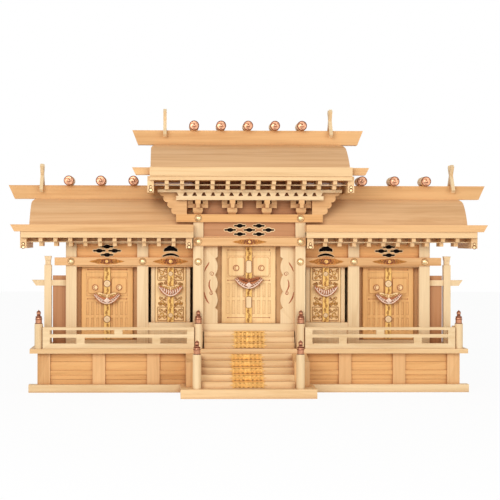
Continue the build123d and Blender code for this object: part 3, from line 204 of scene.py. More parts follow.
def wood(name, tone, along, contrast=1.0, gloss=0.5):
    """Planed softwood: fine streaks along one axis, broad growth bands, a tone by board, and painted shade
    that darkens the hollows.
    """
    material, tree, shader = new_material(name)
    base = linear(TONES[tone])
    place = object_place(tree)
    streaks = grain(tree, place, along, FINE_GRAIN, detail=3.0)
    bands = grain(tree, place, along, BROAD_GRAIN, detail=5.0, roughness=0.7, distortion=0.6)
    light = scaled(base, 1.0 + 0.06 * contrast)
    dark = tuple(value * (1 - loss * contrast) for value, loss in zip(base, BAND_LOSS)) + (1.0,)
    colour = ramp(tree, bands, [(0.34, dark), (0.5, base), (0.66, light)])
    streak_tint = ramp(tree, streaks, [(0.3, STREAK_TINT), (0.55, WHITE)])
    colour = mixed(tree, 0.55 * contrast, colour, streak_tint, "MULTIPLY")
    island = tree.nodes.new("ShaderNodeNewGeometry").outputs["Random Per Island"]
    board = ramp(tree, island, [(0.0, BOARD_TINT), (1.0, WHITE)])
    colour = mixed(tree, 1.0, colour, board, "MULTIPLY")
    # painted shade in the hollows of the wood
    paint_hollow_shade(tree, shader, colour, 0.014, [(0.22, HOLLOW_SHADE), (0.78, WHITE)])
    rough = ramp(tree, streaks, [(0.3, grey(gloss + 0.12)), (0.7, grey(gloss - 0.04))])
    tree.links.new(rough, shader.inputs["Roughness"])
    shader.inputs["Specular IOR Level"].default_value = 0.35
    add_bump(tree, shader, streaks, 0.25, 0.0003)
    return material


def metal(name, rgb, roughness, shade_rgb, metallic=0.85):
    """Plated metal: tone and roughness vary, and painted shade darkens the hollows."""
    material, tree, shader = new_material(name)
    base = linear(rgb)
    place = object_place(tree)
    cloud = noise(tree, place, 140.0)
    fine = noise(tree, place, 900.0, detail=2.0)
    colour = ramp(tree, cloud, [(0.35, scaled(base, 0.82)), (0.65, scaled(base, 1.06))])
    # painted shade: darker in the hollows, towards the last colour given
    paint_hollow_shade(tree, shader, colour, 0.004, [(0.35, linear(shade_rgb)), (0.8, WHITE)])
    shader.inputs["Metallic"].default_value = metallic
    rough = ramp(tree, cloud, [(0.3, grey(roughness + 0.1)), (0.7, grey(roughness))])
    tree.links.new(rough, shader.inputs["Roughness"])
    add_bump(tree, shader, fine, 0.2, 0.0002)
    return material


def shadow_backing(name):
    """Painted shadow: a near-black material for the sheets behind the pierced ornament, standing for the dark
    inside.
    """
    material, tree, shader = new_material(name)
    mottle = noise(tree, object_place(tree), 1500.0, detail=2.0)
    colour = ramp(tree, mottle, [(0.3, (0.004, 0.003, 0.003, 1.0)), (0.7, (0.012, 0.009, 0.008, 1.0))])
    tree.links.new(colour, shader.inputs["Base Color"])
    shader.inputs["Roughness"].default_value = 0.95
    shader.inputs["Specular IOR Level"].default_value = 0.1
    return material


# Contrast and gloss of each wood; the key gives its tone and the axis of its grain
WOODS = {
    "frame_x": (), "frame_y": (), "pale_x": (0.8,), "pale_z": (0.8,), "beam_x": (), "beam_z": (),
    "ridge_x": (0.9,), "roof_x": (1.15,), "panel_x": (1.1,), "recess_x": (), "cut_z": (), "door_z": (0.9,),
    "cream_z": (0.5, 0.45), "groove_z": (1.0, 0.55), "pale_door_z": (0.9,), "frieze_x": (),
}
MATERIALS = {
    # painted shade: the screen panels take the darker tone of parts in shade
    "panel_z": wood("panel_wood_z", "recess", "Z"),
    "carving": wood("carved_wood", "carving", "Z", 0.8, 0.4),
    # the last colour of each metal is the painted shade of its hollows
    "gold": metal("gilt_brass", (236, 186, 110), 0.34, (132, 66, 26)),
    "bright": metal("bright_fitting", (246, 216, 194), 0.3, (110, 52, 34), 0.25),
    "bronze": metal("bronze_fitting", (170, 104, 66), 0.28, (50, 22, 14)),
    "copper": metal("copper_fitting", (196, 136, 102), 0.3, (60, 26, 16), 0.6),
    "rose": metal("rose_gilt", (218, 164, 130), 0.3, (96, 44, 28)),
    "pale_gold": metal("pale_gilt", (246, 214, 160), 0.3, (120, 62, 30)),
    "patina": metal("dark_patina", (196, 134, 76), 0.5, (84, 38, 20)),
    # painted shadow for the dark inside behind the pierced panels
    "dark": shadow_backing("shadow_backing"),
}
for key, settings in WOODS.items():
    tone, along = key.rsplit("_", 1)
    MATERIALS[key] = wood(f"{tone}_wood_{along}", tone, along.upper(), *settings)

NODE_MATERIALS = {
    "frame_x": ("stair_base", "deck_board", "steps", "wall_plates", "eave_boards"),
    "frame_y": ("upper_rafters", "lower_rafters", "end_boards", "ridge_logs"),
    "pale_x": ("base_board", "railings", "sills", "bracket_tie", "eave_purlin", "eave_battens"),
    "pale_z": ("wall_posts", "newel_posts", "centre_pillars", "side_screens", "ridge_forks", "sleeve_boards",
               "narrow_bay_boards"),
    "beam_x": ("lintels", "side_corbels", "bracket_sets", "eave_planks"),
    "beam_z": ("door_stops", "side_walls", "back_wall", "podium_posts", "stair_cheeks"),
    "ridge_x": ("ridge_boards",),
    "roof_x": ("roof_fronts", "roof_backs"),
    "panel_x": ("podium_panels", "soffit_boards", "head_beam"),
    "panel_z": ("screen_panels",),
    # painted shade: a darker tone for the upper walls and gable boards
    "recess_x": ("upper_walls", "gable_boards"),
    "copper": ("newel_finials",),
    "gold": ("nail_covers", "log_caps"),
}


# Nodes that are turned or domed, or whose edges the gilt plates fold over
SHARP_NODES = ("newel_finials", "nail_covers", "log_caps", "steps")
EDGE_ROUND = 0.45


def paint(obj, key):
    obj.data.materials.clear()
    obj.data.materials.append(MATERIALS[key])


def soften_edges():
    """A small round on every sharp edge, as planed edges have."""
    for name, obj in nodes.items():
        if name in SHARP_NODES:
            continue
        bevel = obj.modifiers.new("edge", "BEVEL")
        bevel.width = EDGE_ROUND * MM
        bevel.segments = 2
        bevel.limit_method = "ANGLE"
        bevel.angle_limit = math.radians(40)


def paint_nodes():
    for key, names in NODE_MATERIALS.items():
        for name in names:
            paint(nodes[name], key)
    for name, obj in nodes.items():
        if name.endswith(("_locked", "_free")):
            paint(obj, "door_z" if name.startswith("outer_") else "pale_door_z")
        if name.endswith("_lock"):
            paint(obj, "bronze")


# Piece building

def new_object(name, data):
    obj = bpy.data.objects.new(name, data)
    bpy.context.collection.objects.link(obj)
    return obj


def shade_smooth(data):
    data.polygons.foreach_set("use_smooth", [True] * len(data.polygons))


def polar(x, z, radius, angle):
    return (x + radius * math.cos(angle), z + radius * math.sin(angle))


class Carving:
    """Raised work on faces that look to the front (or back), gathered into one mesh, in millimetres."""

    def __init__(self):
        self.mesh = bmesh.new()
        self.facing = -1

    def _point(self, x, y, z):
        return self.mesh.verts.new((x * MM, y * MM, z * MM))

    def _face(self, points):
        if len(set(points)) > 2:
            self.mesh.faces.new(points)

    def _bridge(self, first, second):
        count = len(first)
        for i in range(count):
            j = (i + 1) % count
            if len(second) == 1:
                self._face([first[i], first[j], second[0]])
            else:
                self._face([first[i], first[j], second[j], second[i]])

    def stroke(self, points, width, height, y, taper=0.35, closed=False):
        """A half-round ridge along (x, z) points, thinner at its ends unless it is closed."""
        count = len(points)
        rings = []
        for i, (x, z) in enumerate(points):
            before = points[i - 1] if closed else points[max(i - 1, 0)]
            after = points[(i + 1) % count] if closed else points[min(i + 1, count - 1)]
            dx = after[0] - before[0]
            dz = after[1] - before[1]
            length = math.hypot(dx, dz) or 1.0
            nx = -dz / length
            nz = dx / length
            swell = 1.0 if closed else taper + (1 - taper) * math.sin(math.pi * i / (count - 1))
            half = width / 2 * swell
            rise = height * (0.6 + 0.4 * swell)
            ring = [self._point(x + nx * half * side, y + self.facing * rise * up, z + nz * half * side)
                    for side, up in ((-1, 0), (-0.7, 0.65), (0, 1), (0.7, 0.65), (1, 0))]
            rings.append(ring)
        for first, second in zip(rings, rings[1:]):
            self._bridge(first, second)
        if closed:
            self._bridge(rings[-1], rings[0])
        else:
            self._face(rings[0][::-1])
            self._face(rings[-1])

    def plate(self, outline, y, thickness, edge):
        """A plate with an (x, z) outline and its back at y; its front edge is stepped in a little."""
        middle_x = sum(x for x, z in outline) / len(outline)
        middle_z = sum(z for x, z in outline) / len(outline)

        def ring(depth, inset):
            made = []
            for x, z in outline:
                dx = x - middle_x
                dz = z - middle_z
                length = math.hypot(dx, dz) or 1.0
                share = 1 - min(0.5, inset / length)
                spot = (middle_x + dx * share, y + self.facing * depth, middle_z + dz * share)
                made.append(self._point(*spot))
            return made

        back = ring(0.0, 0.0)
        side = ring(thickness - edge, 0.0)
        front = ring(thickness, edge)
        self._bridge(back, side)
        self._bridge(side, front)
        self._face(front)
        self._face(back[::-1])

    def lathe(self, x, y, z, profile, sides):
        """A turned boss whose axis runs to the front: (radius, height) from its foot to its middle."""
        angles = [2 * math.pi * (i + 0.5) / sides for i in range(sides)]
        rings = []
        for radius, height in profile:
            front = y + self.facing * height
            if radius == 0:
                rings.append([self._point(x, front, z)])
            else:
                rings.append([self._point(x + radius * math.cos(angle), front, z + radius * math.sin(angle))
                              for angle in angles])
        for first, second in zip(rings, rings[1:]):
            self._bridge(first, second)
        self._face(rings[0][::-1])

    def flower(self, x, y, z, radius, petals, height):
        """A rosette: a thin disc, a ring of petals and a button."""
        disc = [(radius, 0), (radius, 0.35 * height), (0.94 * radius, 0.45 * height),
                (0.2 * radius, 0.35 * height), (0, 0.35 * height)]
        self.lathe(x, y, z, disc, 24)
        inner = 0.3 * radius
        outer = 0.88 * radius
        width = 1.5 * math.pi * radius / petals
        for i in range(petals):
            angle = 2 * math.pi * (i + 0.5) / petals
            points = [polar(x, z, r, angle) for r in (inner, 0.5 * (inner + outer), 0.8 * outer, outer)]
            self.stroke(points, width, 0.6 * height, y + self.facing * 0.3 * height, 0.4)
        button = [(0.3 * radius, 0.3 * height), (0.28 * radius, 0.9 * height), (0, 1.1 * height)]
        self.lathe(x, y, z, button, 12)

    def shelf(self, outline, z, thickness):
        """A level plate on a tread, with an (x, y) outline and its underside at z."""
        low = [self._point(x, y, z) for x, y in outline]
        high = [self._point(x, y, z + thickness) for x, y in outline]
        self._bridge(low, high)
        self._face(low[::-1])
        self._face(high)

    def finish(self, name, key, body, slot, replaced=(), smooth=True):
        """The work as one piece, in the material of that key."""
        bmesh.ops.recalc_face_normals(self.mesh, faces=self.mesh.faces)
        data = bpy.data.meshes.new(name)
        self.mesh.to_mesh(data)
        self.mesh.free()
        obj = new_object(name, data)
        paint(obj, key)
        if smooth:
            shade_smooth(data)
            data.set_sharp_from_angle(angle=math.radians(38))
        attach(obj, body)
        if replaced:
            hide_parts(*replaced)


class Outlined:
    """Raised strokes with a darker, wider stroke under each, which shows as a dark outline of painted shade.
    """

    def __init__(self, border):
        self.light = Carving()
        self.dark = Carving()
        self.border = border

    def stroke(self, points, width, height, y, taper=0.35):
        self.dark.stroke(points, width + self.border, 0.5 * height, y, min(1.0, taper + 0.15))
        self.light.stroke(points, width, height, y, taper)

    def finish(self, name, light, dark, body, slot):
        self.light.finish(name, light, body, slot)
        self.dark.finish(name + "_lines", dark, body, slot)


SPIRAL_STEPS = 16
SPIRAL_END = 0.25  # the last radius of a scroll, as a share of its first


def spiral(x, z, radius, turns, start, hand):
    """Points of a scroll that winds in to (x, z)."""
    points = []
    for i in range(SPIRAL_STEPS + 1):
        share = i / SPIRAL_STEPS
        angle = start + hand * 2 * math.pi * turns * share
        points.append(polar(x, z, radius * (1 - share * (1 - SPIRAL_END)), angle))
    return points


def arc(x, z, radius_x, radius_z, start_deg, end_deg, steps):
    points = []
    for i in range(steps + 1):
        angle = math.radians(start_deg + (end_deg - start_deg) * i / steps)
        points.append((x + radius_x * math.cos(angle), z + radius_z * math.sin(angle)))
    return points


def oval(x, z, radius_x, radius_z, sides=24):
    """Points of a closed oval."""
    return arc(x, z, radius_x, radius_z, 0, 360 - 360 / sides, sides - 1)


def circle(x, z, radius, sides=24):
    return oval(x, z, radius, radius, sides)


def wave(x0, z0, x1, z1, sway, waves, steps):
    """Points of a line that swings from side to side."""
    length = math.hypot(x1 - x0, z1 - z0)
    nx = -(z1 - z0) / length
    nz = (x1 - x0) / length
    points = []
    for i in range(steps + 1):
        share = i / steps
        side = sway * math.sin(2 * math.pi * waves * share)
        points.append((x0 + (x1 - x0) * share + nx * side, z0 + (z1 - z0) * share + nz * side))
    return points


def box_mm(node):
    low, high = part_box(node)
    return [value / MM for value in low], [value / MM for value in high]


def flipped(points, middle=0.0):
    """The same points, mirrored left to right."""
    return [(2 * middle - x, z) for x, z in points]


def rectangle(x0, x1, z0, z1):
    return [(x0, z0), (x1, z0), (x1, z1), (x0, z1)]


def wing_lintel_y():
    return box_mm("wall_posts")[0][1] - WING_LINTEL_PROUD


# Metal fittings of the frame

NAIL_DOME = [(7.3, 0), (7.3, 0.9), (6.6, 1.6), (5.8, 1.2), (5.1, 1.7), (3.4, 2.8), (1.2, 3.3), (0, 3.3)]
NAIL_PETALS = 10
LOG_RIM = [(11.0, 0), (11.0, 1.5), (9.9, 2.0), (9.2, 1.1), (3.2, 1.3), (2.0, 2.0), (0, 2.1)]


def nail_covers():
    """Domed covers on the posts, each on a ring of petals."""
    work = Carving()
    ring = Carving()
    low, high = box_mm("lintels")
    wing_y = wing_lintel_y()
    places = [(OUTER_POST_X, wing_y, WING_LINTEL_Z), (INNER_POST_X, wing_y, WING_LINTEL_Z),
              (PILLAR_X, box_mm("centre_pillars")[0][1], WING_LINTEL_Z), (PILLAR_X, low[1], high[2] - 9.0),
              (PILLAR_X, box_mm("head_beam")[0][1], HEAD_BEAM_Z)]
    for post_x, y, z in places:
        for x in (-post_x, post_x):
            work.lathe(x, y, z, NAIL_DOME, 24)
            for i in range(NAIL_PETALS):
                angle = 2 * math.pi * i / NAIL_PETALS
                points = [polar(x, z, r, angle) for r in (5.6, 6.2, 7.0)]
                work.stroke(points, 2.2, 0.9, y - 0.9, 0.6)
            ring.stroke(circle(x, z, 7.6), 1.1, 0.7, y, closed=True)
            ring.stroke(circle(x, z, 5.1), 0.8, 1.5, y - 0.6, closed=True)
    work.finish("nail_cover_domes", "pale_gold", "shrine", "gold", ["nail_covers"])
    ring.finish("nail_cover_rings", "patina", "shrine", "bronze")


def loose_parts(obj):
    """The separate parts of a node's mesh, each as a list of points in millimetres."""
    mesh = bmesh.new()
    mesh.from_mesh(obj.data)
    mesh.transform(obj.matrix_world)
    seen = set()
    parts = []
    for start in mesh.verts:
        if start in seen:
            continue
        seen.add(start)
        stack = [start]
        points = []
        while stack:
            vert = stack.pop()
            points.append(vert.co / MM)
            for edge in vert.link_edges:
                other = edge.other_vert(vert)
                if other not in seen:
                    seen.add(other)
                    stack.append(other)
        parts.append(points)
    mesh.free()
    return parts


def finial_shade_rings():
    """Dark rings of painted shade at the neck and the foot of every onion-shaped finial."""
    work = bmesh.new()
    for points in loose_parts(nodes["newel_finials"]):
        low = [min(p[i] for p in points) for i in range(3)]
        high = [max(p[i] for p in points) for i in range(3)]
        x = (low[0] + high[0]) / 2
        y = (low[1] + high[1]) / 2
        height = high[2] - low[2]
        for share in (0.06, 0.52, 0.66):
            z = low[2] + share * height
            near = [math.hypot(p[0] - x, p[1] - y) for p in points if abs(p[2] - z) < 0.09 * height]
            radius = (min(near) if near else 0.3 * (high[0] - low[0])) + 0.35
            add_ring(work, x, y, z, radius, 0.75)
    data = bpy.data.meshes.new("finial_shade_rings")
    work.to_mesh(data)
    work.free()
    obj = new_object("finial_shade_rings", data)
    # painted shade in the creases of the finials
    paint(obj, "groove_z")
    shade_smooth(data)
    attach(obj, "shrine")


def add_ring(mesh, x, y, z, radius, thick, around=24, sides=6):
    """A level round ring."""
    rows = []
    for i in range(around):
        angle = 2 * math.pi * i / around
        row = []
        for j in range(sides):
            turn = 2 * math.pi * j / sides
            reach = radius + thick * math.cos(turn)
            row.append(mesh.verts.new(((x + reach * math.cos(angle)) * MM, (y + reach * math.sin(angle)) * MM,
                                       (z + thick * math.sin(turn)) * MM)))
        rows.append(row)
    for first, second in zip(rows, rows[1:] + rows[:1]):
        for j in range(sides):
            k = (j + 1) % sides
            mesh.faces.new([first[j], second[j], second[k], first[k]])


LOW_LOGS_X = (261.0, 335.0, 407.5)
LOW_LOGS_Z = 473.3
HIGH_LOGS_STEP = 61.5
HIGH_LOGS_Z = 599.3


def log_ends():
    """Chased discs on both ends of every ridge log, with dark rings of painted shade round the rim and the
    middle of each.
    """
    work = Carving()
    ring = Carving()
    low, high = box_mm("ridge_logs")
    places = [(side * x, LOW_LOGS_Z) for x in LOW_LOGS_X for side in (-1, 1)]
    places += [(HIGH_LOGS_STEP * i, HIGH_LOGS_Z) for i in (-2, -1, 0, 1, 2)]
    for facing, y in ((-1, low[1]), (1, high[1])):
        work.facing = facing
        ring.facing = facing
        for x, z in places:
            work.lathe(x, y, z, LOG_RIM, 28)
            for i in range(3):
                turn = math.radians(120 * i)
                points = [polar(x, z, r, turn + 0.35 * r) for r in (8.4, 7.6, 6.6, 5.4, 4.2, 3.0)]
                work.stroke(points, 2.8, 1.1, y + facing * 1.0, 0.3)
            # painted shade round the rim and the middle of each disc
            ring.stroke(circle(x, z, 10.4), 1.5, 1.0, y + facing * 1.4, closed=True)
            ring.stroke(circle(x, z, 2.6, 12), 1.0, 0.8, y + facing * 1.4, closed=True)
    work.finish("log_end_discs", "rose", "shrine", "gold", ["log_caps"])
    ring.finish("log_end_shade_rings", "groove_z", "shrine", "bronze")


def lens_ornament(work, ground, heart, x, y, z, half, rise):
    """A pointed filigree plate: a flower in the middle on a dark oval of painted shade, paired scrolls and a
    leaf at each end.
    """
    outline = []
    for i in range(40):
        angle = 2 * math.pi * i / 40
        u = math.cos(angle)
        lift = rise * math.sin(angle) * (1 - 0.62 * u * u) * (1 + 0.12 * math.cos(12 * angle))
        outline.append((x + half * u, z + lift))
    ground.plate(outline, y, 0.5, 0.2)
    front = y - 0.4
    # painted shade: a dark oval behind the flower
    heart.plate(oval(x, z, 0.44 * half, 0.74 * rise), y - 0.3, 0.5, 0.2)
    work.flower(x, front, z, 0.5 * rise, 6, 1.3)
    for side in (-1, 1):
        for share, size in ((0.2, 0.36), (0.36, 0.34), (0.52, 0.26)):
            for up in (-1, 1):
                centre = (x + side * share * half, z + up * 0.46 * rise * (1 - share * share))
                start = math.radians(90 - up * side * 90)
                work.stroke(spiral(*centre, size * rise, 1.1, start, up * side), 1.7, 1.1, front)
        for up in (-1, 1):
            edge = [(x + side * share * half, z + up * rise * (1.0 - share) * 0.75)
                    for share in (0.55, 0.68, 0.81, 0.96)]
            work.stroke(edge, 1.7, 0.9, front)
        work.stroke([(x + side * share * half, z) for share in (0.1, 0.4, 0.7, 1.0)], 1.8, 0.9, front)


def lintel_ornaments():
    """Filigree plates over the middle of every pair of doors."""
    work = Carving()
    ground = Carving()
    heart = Carving()
    lens_ornament(work, ground, heart, 0.0, box_mm("lintels")[0][1], CENTRE_LINTEL_Z, 38.0, 6.6)
    for side in (-1, 1):
        for x, half, rise in ((OUTER_X, 39.0, 7.0), (NARROW_X, 39.5, 8.6)):
            lens_ornament(work, ground, heart, side * x, wing_lintel_y(), WING_LINTEL_Z, half, rise)
    work.finish("lintel_ornaments", "gold", "shrine", "gold")
    ground.finish("lintel_ornament_grounds", "patina", "shrine", "bronze")
    heart.finish("lintel_ornament_shade_hearts", "groove_z", "shrine", "bronze")


# The front feet of the end boards: two feet of each low roof and one of the high roof, left and right
LOW_FEET_X = (135.0, 502.0)
LOW_FEET_Y = -69.5
LOW_FEET_Z = 327.0
HIGH_FOOT_X = 220.0
HIGH_FOOT_Z = 452.0


def foot_fittings():
    """Small double-ring fittings on the front feet of the end boards, with dark rings of painted shade round
    their bosses.
    """
    work = Carving()
    ring = Carving()
    places = [(x, LOW_FEET_Y, LOW_FEET_Z) for x in LOW_FEET_X]
    places.append((HIGH_FOOT_X, box_mm("end_boards")[0][1], HIGH_FOOT_Z))
    for foot_x, y, z in places:
        for x in (-foot_x, foot_x):
            for dz, radius in ((-3.9, 3.9), (3.2, 2.8)):
                # painted shade round each boss
                ring.stroke(circle(x, z + dz, radius), 1.2, 0.9, y, closed=True)
                boss = [(radius, 0), (0.7 * radius, 0.9), (0.25 * radius, 0.6), (0, 1.2)]
                work.lathe(x, y, z + dz, boss, 16)
    work.finish("end_board_fittings", "pale_gold", "shrine", "bronze")
    ring.finish("end_board_fitting_shade_rings", "groove_z", "shrine", "bronze")


STEP_HALF = 37.5  # half the width of the plates on the steps
STEP_PLATE = 0.8
STEP_SCALLOPS = 5
# Each flight: middle, reach of its first riser before the ridge line, going, plated depth, foot, head,
# risers, plated treads
FLIGHTS = (
    (-8.0, 212.0, 22.0, 21.0, 20.0, 87.0, 5, 4),
    (0.0, 96.0, 6.0, 5.1, 97.0, 134.0, 3, 3),
)


def riser_plate(work, dots, x, y, z0, z1):
    """A plate with pointed sides, a scalloped foot, a flower and scrolls."""
    middle = (z0 + z1) / 2
    shape = ((6, z1), (2, z1 - 1.4), (6, middle + 2.2), (-3, middle), (6, middle - 2.2), (2, z0 + 1.4),
             (6, z0))
    left = [(x - STEP_HALF + inset, z) for inset, z in shape]
    for i in range(7):
        spot = x + (i - 3) * 9.5
        for up in (-1, 1):
            mark = arc(spot, middle, 4.2, 0.36 * (z1 - z0), 60 * up, 120 * up, 4)
            dots.stroke(mark, 1.1, 1.0, y - 0.7, 0.5)
    foot = []
    for i in range(1, 2 * STEP_SCALLOPS):
        share = i / (2 * STEP_SCALLOPS)
        foot.append((x + (2 * share - 1) * (STEP_HALF - 8), z0 + (0.0 if i % 2 == 0 else 1.6)))
    work.plate(left + foot + flipped(left, x)[::-1], y, STEP_PLATE, 0.2)
    front = y - STEP_PLATE
    work.flower(x, front, middle, 0.4 * (z1 - z0), 8, 0.9)
    for side in (-1, 1):
        for share, size in ((0.3, 0.36), (0.52, 0.32), (0.72, 0.28)):
            spot = (x + side * share * STEP_HALF, middle)
            work.stroke(spiral(*spot, size * (z1 - z0), 1.1, math.radians(90), side), 1.3, 0.8, front)
    edge = [(x + dx, z1 - 0.9) for dx in (-STEP_HALF + 6, 0.0, STEP_HALF - 6)]
    work.stroke(edge, 1.0, 0.7, front, 0.9)


def tread_plate(work, x, y0, y1, z):
    outline = [(x - STEP_HALF + 5, y0), (x + STEP_HALF - 5, y0), (x + STEP_HALF, (y0 + y1) / 2),
               (x + STEP_HALF - 5, y1), (x - STEP_HALF + 5, y1), (x - STEP_HALF, (y0 + y1) / 2)]
    work.shelf(outline, z, STEP_PLATE)


def step_plates():
    """Gilt plates over the middle of every step, folded from riser to tread."""
    work = Carving()
    dots = Carving()
    for x, reach, going, plated, foot, head, risers, treads in FLIGHTS:
        rise = (head - foot) / risers
        for i in range(risers):
            y = RIDGE_Y - (reach - going * i)
            top = foot + rise * (i + 1)
            riser_plate(work, dots, x, y, foot + rise * i + 0.3, top)
            if i < treads:
                tread_plate(work, x, y - STEP_PLATE, y + plated, top)
    work.finish("step_plates", "gold", "shrine", "gold")
    dots.finish("step_plate_marks", "patina", "shrine", "bronze")


# Pierced ornament

BACKING_GAP = 0.6  # from the back of a pierced panel to the sheet of painted shadow behind it


def shadow_backings():
    """Painted shadow: near-black sheets behind the pierced panels, for the dark inside that shows through the
    holes.
    """
    work = Carving()
    y = box_mm("centre_frieze")[1][1] + BACKING_GAP
    work.plate(rectangle(-100, 100, 345.5, 377), y, 0.5, 0.1)
    y = box_mm("frieze_panels")[1][1] + BACKING_GAP
    for side in (-1, 1):
        for x, half in ((OUTER_X, 64.0), (NARROW_X, 48.0)):
            work.plate(rectangle(side * x - half, side * x + half, 300.5, 328), y, 0.5, 0.1)
    work.finish("frieze_shadow_backings", "dark", "shrine", "frame_wood", smooth=False)


# Half a star, as shares of its width and half height; half a cloud, in millimetres
STAR = ((-0.5, 0), (-0.43, 0.42), (-0.25, 0.42), (-0.1, 0.93), (0, 1.0))
STAR_HALF_HEIGHT = 4.5
STAR_ROW = 9.3
STAR_COLUMN = 42.8
CENTRE_STARS_Z = 361.25
CENTRE_STAR_WIDTH = 27.4
WING_STARS = ((-17.2, 0), (17.2, 0), (0, -9.4), (0, 9.4))
WING_STARS_Z = 314.0
WING_STAR_WIDTH = 29.5
OUTER_BAY = (251.5, 388.0)
NARROW_BAY = (125.5, 226.5)
CLOUD = ((15.5, 312.4), (15.6, 316.6), (13.2, 319.6), (9.6, 321.2), (7.6, 323.4), (4.2, 325.6), (0, 326.2))


def star(x, z, width):
    """A long pierced star: two thin arms and a swollen middle."""
    left = [(x + u * width, z + v * STAR_HALF_HEIGHT) for u, v in STAR]
    top = left + flipped(left[:-1], x)[::-1]
    return top + [(px, 2 * z - pz) for px, pz in top[-2:0:-1]]


def cloud(x):
    """The upper hole over a narrow pair: a stepped cloud."""
    right = [(x + dx, z) for dx, z in CLOUD]
    crown = right + flipped(right[:-1], x)[::-1]
    return crown + [(x - 8.0, 313.3), (x, 313.8), (x + 8.0, 313.3)]


def bow(x):
    """The lower hole over a narrow pair: a thin bow."""
    shares = [i / 5 for i in range(-5, 6)]
    upper = [(x + 18.5 * u, 302.4 + 6.4 * (1 - u * u)) for u in shares]
    lower = [(x + 18.0 * u, 300.2 + 3.2 * (1 - u * u)) for u in shares[::-1]]
    return upper + lower


def grown(points, margin):
    """The same closed outline, moved outwards by a margin."""
    area = sum(a[0] * b[1] - b[0] * a[1] for a, b in zip(points, points[1:] + points[:1]))
    turn = 1 if area > 0 else -1
    made = []
    for i, (x, z) in enumerate(points):
        before = points[i - 1]
        after = points[(i + 1) % len(points)]
        dx = after[0] - before[0]
        dz = after[1] - before[1]
        length = math.hypot(dx, dz) or 1.0
        made.append((x + turn * margin * dz / length, z - turn * margin * dx / length))
    return made


def pierced_board(name, boards, y_front, y_back, key, replaced):
    """Boards with holes right through them; each board is (outline, holes) in (x, z)."""
    curve = bpy.data.curves.new(name, "CURVE")
    curve.dimensions = "2D"
    curve.fill_mode = "BOTH"
    curve.extrude = abs(y_back - y_front) / 2 * MM
    for outline, holes in boards:
        for points in [outline] + holes:
            spline = curve.splines.new("POLY")
            spline.points.add(len(points) - 1)
            for point, (x, z) in zip(spline.points, points):
                point.co = (x * MM, z * MM, 0, 1)
            spline.use_cyclic_u = True
    shape = bpy.data.objects.new(name + "_outline", curve)
    data = bpy.data.meshes.new_from_object(shape)
    data.name = name
    bpy.data.objects.remove(shape)
    bpy.data.curves.remove(curve)
    middle = (y_front + y_back) / 2 * MM
    for vertex in data.vertices:
        x, z, y = vertex.co
        vertex.co = (x, middle + y, z)
    mesh = bmesh.new()
    mesh.from_mesh(data)
    bmesh.ops.remove_doubles(mesh, verts=mesh.verts, dist=1e-6)
    bmesh.ops.recalc_face_normals(mesh, faces=mesh.faces)
    mesh.to_mesh(data)
    mesh.free()
    obj = new_object(name, data)
    paint(obj, key)
    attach(obj, "shrine")
    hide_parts(*replaced)


def friezes():
    """The pierced panels, with a pale raised rim round every hole."""
    rims = Carving()
    low, high = box_mm("centre_frieze")
    stars = [star(STAR_COLUMN * (i - (count - 1) / 2), CENTRE_STARS_Z + STAR_ROW * row, CENTRE_STAR_WIDTH)
             for row, count in ((-1, 2), (0, 3), (1, 2)) for i in range(count)]
    board = (rectangle(low[0], high[0], low[2], high[2]), stars)
    # painted shade: the centre frieze takes the darker tone of parts in shade
    pierced_board("pierced_centre_frieze", [board], low[1], high[1], "recess_x", ["centre_frieze"])
    for hole in stars:
        rims.stroke(grown(hole, 0.9), 1.9, 0.5, low[1] + 0.1, closed=True)
    low, high = box_mm("frieze_panels")
    boards = []
    for side in (-1, 1):
        x = side * OUTER_X
        wide = [star(x + dx, WING_STARS_Z + dz, WING_STAR_WIDTH) for dx, dz in WING_STARS]
        x = side * NARROW_X
        narrow = [cloud(x), bow(x)]
        for bay, holes in ((OUTER_BAY, wide), (NARROW_BAY, narrow)):
            edges = sorted(side * edge for edge in bay)
            boards.append((rectangle(*edges, low[2], high[2]), holes))
        for hole in wide + narrow:
            rims.stroke(grown(hole, 1.0), 2.1, 0.5, low[1] + 0.1, closed=True)
    pierced_board("pierced_wing_friezes", boards, low[1], high[1], "frieze_x", ["frieze_panels"])
    rims.finish("pierced_rims", "cream_z", "shrine", "frame_wood")


def frieze_ledge():
    """The moulded strip on the top of the centre lintel."""
    work = Carving()
    y = box_mm("centre_frieze")[0][1]
    half = 102.5
    for z0, z1, depth in ((344.1, 346.0, 3.4), (346.0, 347.6, 1.8)):
        work.plate(rectangle(-half, half, z0, z1), y, depth, 0.5)
    work.finish("frieze_ledge", "beam_x", "shrine", "frame_wood", smooth=False)


# The cut lines of the left sleeve board, each with its width
SLEEVE_LINES = (
    ([(-89.5, 289), (-92, 284), (-96.5, 277), (-100, 268)], 3.2),
    ([(-100.5, 222), (-98.5, 212), (-94.5, 203), (-89.5, 196)], 3.4),
    (spiral(-83.5, 262.5, 5.6, 1.3, math.radians(190), -1), 1.5),
    ([(-87, 250), (-89.5, 243), (-89.5, 235), (-87.0, 228), (-83, 222)], 3.4),
    (spiral(-84.5, 219.5, 4.4, 1.2, math.radians(60), 1), 2.2),
)


def sleeve_relief():
    """Shallow cut lines and small scrolls on the boards beside the centre doors, darker with painted shade.
    """
    work = Carving()
    y = box_mm("sleeve_boards")[0][1]
    for points, width in SLEEVE_LINES:
        work.stroke(points, width, 0.7, y)
        work.stroke(flipped(points), width, 0.7, y)
    work.finish("sleeve_relief", "cut_z", "shrine", "frame_wood")


# Doors

